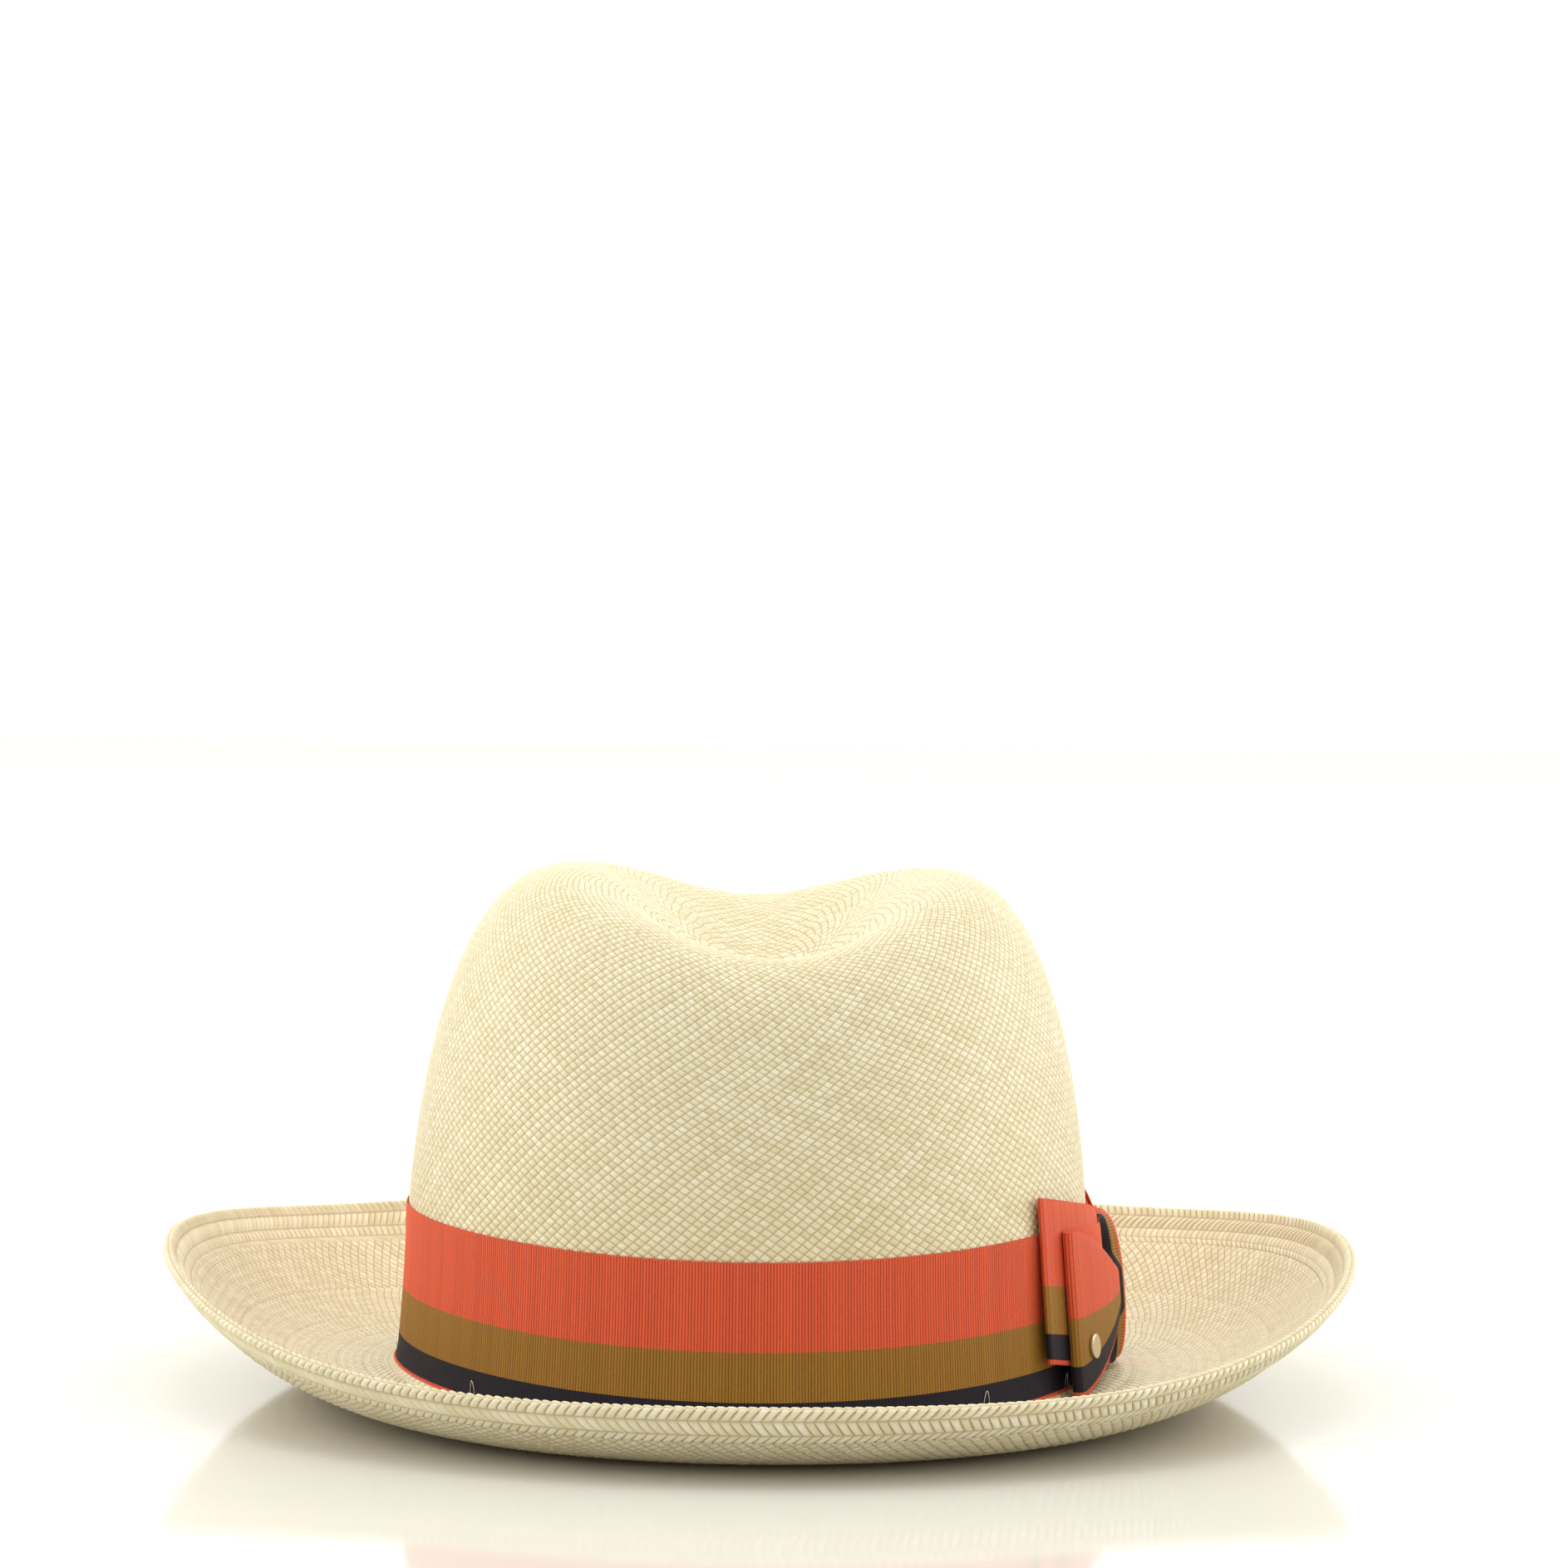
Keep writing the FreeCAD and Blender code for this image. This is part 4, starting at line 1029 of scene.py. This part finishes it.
def seamBow():
    # the small flat bow over the leather's joint: a closed loop pinched at its middle, and its wrap
    size = {
        "half": 11.0, "height": 9.0, "layer": 0.4, "depth": 1.6, "waist": 0.45, "wrap": 2.4, "rise": 14.0,
    }
    middle = float(leatherLow(math.pi / 2)) + size["rise"]
    inner = 2 * ribbon["gap"] + 1.5 * size["layer"]

    def seamPoint(along, height, depth):
        angle = math.pi / 2 + along / crown["halfWidth"]
        return wallPoint(angle, height, leatherOffset - leather["thickness"] - depth)

    along, depth, length = loopPath(size["half"], inner, lambda a: inner + size["depth"] + 0 * a, 240)
    down = np.concatenate([np.linspace(0, 1, 13), np.linspace(1, 0, 13)])[:, None]
    side = np.concatenate([np.ones(13), -np.ones(13)])[:, None] * size["layer"] / 2
    waist = size["waist"] + (1 - size["waist"]) * smoothStep(np.abs(along) / (size["half"] * 0.8))[None, :]
    pleat = 0.12 * np.cos(down * turn * 2) * (1 - waist)
    points = seamPoint(along[None, :] + 0 * down, middle + (down - 0.5) * size["height"] * waist,
                       depth[None, :] + side + pleat)
    uv = np.zeros((27, 241, 2))
    bowPiece = gridPiece("seam_bow_loops", points, uv, satinRibbon, True, True)
    front = inner + size["layer"] + size["depth"] + 2 * ribbon["gap"]
    half = size["height"] / 2 * (size["waist"] + 0.25) + 0.5
    bend = np.linspace(0, turn, 97)[:-1]
    squareness = 0.55
    wrapUp = half * np.sign(np.sin(bend)) * np.abs(np.sin(bend)) ** squareness
    backDepth = ribbon["gap"] + size["layer"] / 2
    wrapMiddle = (front + backDepth) / 2
    squared = np.sign(np.cos(bend)) * np.abs(np.cos(bend)) ** squareness
    wrapDepth = wrapMiddle + (front - backDepth) / 2 * squared
    across = np.concatenate([np.linspace(-1, 1, 9), np.linspace(1, -1, 9)])[:, None] * size["wrap"]
    swell = np.concatenate([np.ones(9), -np.ones(9)])[:, None] * size["layer"] / 2
    grow = 1 + swell / half
    deep = wrapMiddle + (wrapDepth[None, :] - wrapMiddle) * (1 + swell / 2)
    wrapPoints = seamPoint(np.broadcast_to(across, deep.shape), middle + wrapUp[None, :] * grow, deep)
    wrapPiece = gridPiece("seam_bow_band", wrapPoints, np.zeros((19, 97, 2)), satinRibbon, True, True)
    for piece, node, wide, long in ((bowPiece, "seam_bow", size["height"] * 0.8, length),
                                    (wrapPiece, "seam_bow_wrap", 2 * size["wrap"], 4 * half + 2 * front)):
        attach(piece, "hat")
        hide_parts(node)


seamBow()


def paperMaterial():
    # Rag paper, calendered: off-white, faintly clouded, matt
    material, tree, shader = newMaterial("rag_paper_calendered")
    place = addNode(tree, "ShaderNodeTexCoord").outputs["Object"]
    fibres = noiseAt(tree, place, 700.0, 4.0)
    colour = blendColours(tree, fibres, linear("#f4efe0"), linear("#e6dfca"))
    tree.links.new(colour, shader.inputs["Base Color"])
    bump = addNode(tree, "ShaderNodeBump", None, {"Strength": 0.2, "Distance": 0.00005, "Height": fibres})
    tree.links.new(bump.outputs[0], shader.inputs["Normal"])
    shader.inputs["Roughness"].default_value = 0.8
    return material


def sizeTag():
    # a blank slip of paper tucked behind the leather, with clipped corners and a faint buckle
    tag = {"width": 36.0, "height": 16.0, "thickness": 0.2, "angle": 62.0, "low": 16.0}
    half = tag["width"] / 2 / crown["halfLength"]
    angle = (math.radians(tag["angle"]) + np.linspace(-half, half, 61))[None, :]
    up = np.linspace(0, 1, 25)[:, None]
    clip = np.clip((np.abs(np.linspace(-1, 1, 61)) - 0.92) / 0.08, 0, 1)[None, :] * 0.09
    height = tag["low"] + tag["height"] * (clip + (1 - 2 * clip) * up)
    buckle = 0.1 * np.sin(angle * 30) * np.sin(up * math.pi)
    offset = -(strawThickness + (leather["gap"] - tag["thickness"]) / 2) + buckle
    outer = wallPoint(angle, height, offset)
    inner = wallPoint(angle, height, offset - tag["thickness"])
    points = np.concatenate([outer, inner[::-1]])
    piece = gridPiece("size_tag_slip", points, np.zeros((51, 61, 2)), paperMaterial(), False, True,
                      capped=True)
    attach(piece, "hat")
    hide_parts("size_tag")


sizeTag()
print("inside done")


studio = {
    "floorSize": 14.0,
    "white": 1.42,           # light from every side of the white room except the front
    "front": 0.72,           # light from behind the camera, where the room is darker
    "side": 5.0, "top": 4.0,
    "floorIor": 1.45,
    "lamp": "#fff6e8", "room": (1.0, 0.99, 0.93, 1), "seenWhite": 1.05,
}


def studioFloor():
    side = studio["floorSize"]
    mesh = bpy.data.meshes.new("studio_floor")
    corners = [(-side, -side, 0), (side, -side, 0), (side, side, 0), (-side, side, 0)]
    mesh.from_pydata(corners, [], [(0, 1, 2, 3)])
    floor = bpy.data.objects.new("studio_floor", mesh)
    bpy.context.scene.collection.objects.link(floor)
    # White acrylic sheet, cast and flat: matt white through its body, with a soft mirror at low angles
    material, tree, shader = newMaterial("acrylic_sheet_white_cast")
    place = addNode(tree, "ShaderNodeTexCoord").outputs["Object"]
    tone = blendColours(tree, noiseAt(tree, place, 2.0), linear("#e3e2df"), linear("#e5e4e1"))
    tree.links.new(tone, shader.inputs["Base Color"])
    shader.inputs["Roughness"].default_value = 0.9
    shader.inputs["Specular IOR Level"].default_value = 0.0
    mirror = addNode(tree, "ShaderNodeBsdfGlossy", None, {"Roughness": 0.08})
    share = addNode(tree, "ShaderNodeFresnel", None, {"IOR": studio["floorIor"]}).outputs[0]
    both = addNode(tree, "ShaderNodeMixShader", None,
                   {0: share, 1: shader.outputs[0], 2: mirror.outputs[0]})
    output = next(node for node in tree.nodes if node.type == "OUTPUT_MATERIAL")
    tree.links.new(both.outputs[0], output.inputs[0])
    mesh.materials.append(material)


def areaLight(name, power, size, place, target, colour="#ffffff"):
    light = bpy.data.lights.new(name, "AREA")
    light.energy, light.shape = power, "RECTANGLE"
    light.size, light.size_y = size
    light.color = linear(colour)[:3]
    lamp = bpy.data.objects.new(name, light)
    lamp.location = place
    lamp.rotation_euler = (Vector(target) - Vector(place)).to_track_quat("-Z", "Y").to_euler()
    bpy.context.scene.collection.objects.link(lamp)


def studioLight():
    # a white room, dimmer behind the camera, with soft boxes above and on both sides of the hat
    aim = (0, 0, 0.07)
    areaLight("softbox_left", studio["side"], (0.9, 0.9), (-1.3, 0.35, 0.6), aim, studio["lamp"])
    areaLight("softbox_right", studio["side"], (0.9, 0.9), (1.3, 0.35, 0.6), aim, studio["lamp"])
    areaLight("softbox_top", studio["top"], (0.8, 0.8), (0, 0.2, 1.4), aim, studio["lamp"])
    world = bpy.data.worlds.new("white_studio")
    bpy.context.scene.world = world
    world.use_nodes = True
    tree = world.node_tree
    tree.nodes.clear()
    seen = addNode(tree, "ShaderNodeBackground", None,
                   {"Color": (1, 1, 1, 1), "Strength": studio["seenWhite"]})
    direction = addNode(tree, "ShaderNodeSeparateXYZ", None,
                        {0: addNode(tree, "ShaderNodeTexCoord").outputs["Generated"]})
    strength = addNode(tree, "ShaderNodeMapRange", {"interpolation_type": "SMOOTHSTEP"},
                       {"Value": direction.outputs[1], "From Min": -0.9, "From Max": -0.1,
                        "To Min": studio["front"], "To Max": studio["white"]}).outputs[0]
    lit = addNode(tree, "ShaderNodeBackground", None, {"Color": studio["room"], "Strength": strength})
    path = addNode(tree, "ShaderNodeLightPath")
    mixed = addNode(tree, "ShaderNodeMixShader", None,
                    {0: path.outputs["Is Camera Ray"], 1: lit.outputs[0], 2: seen.outputs[0]})
    addNode(tree, "ShaderNodeOutputWorld", None, {"Surface": mixed.outputs[0]})
    bpy.context.scene.view_settings.view_transform = "Standard"


camera = {
    "back": 1184.1, "height": 174.3, "side": 7.39, "down": 1.12, "roll": 0.557, "yaw": 2.39, "lens": 106.96,
}


def studioCamera():
    # the camera stands in front of the hat, a little above it, and the hat is turned by yaw
    down, roll, yaw = (math.radians(camera[key]) for key in ("down", "roll", "yaw"))
    forward = Vector((0, math.cos(down), -math.sin(down)))
    upright = Vector((0, math.sin(down), math.cos(down)))
    flat = Vector((1, 0, 0))
    right = flat * math.cos(roll) + upright * math.sin(roll)
    up = -flat * math.sin(roll) + upright * math.cos(roll)
    turned = Matrix.Rotation(-yaw, 3, "Z")
    axes = [turned @ axis for axis in (right, up, -forward)]
    place = turned @ Vector((camera["side"] * mm, -camera["back"] * mm, camera["height"] * mm))
    data = bpy.data.cameras.new("studio_camera")
    data.lens = camera["lens"]
    data.sensor_width = 36
    data.clip_start, data.clip_end = 0.05, 50
    eye = bpy.data.objects.new("studio_camera", data)
    rows = [[axes[c][r] for c in range(3)] + [place[r]] for r in range(3)]
    eye.matrix_world = Matrix(rows + [[0, 0, 0, 1]])
    bpy.context.scene.collection.objects.link(eye)
    bpy.context.scene.camera = eye


studioFloor()
studioLight()
studioCamera()
print("studio done")
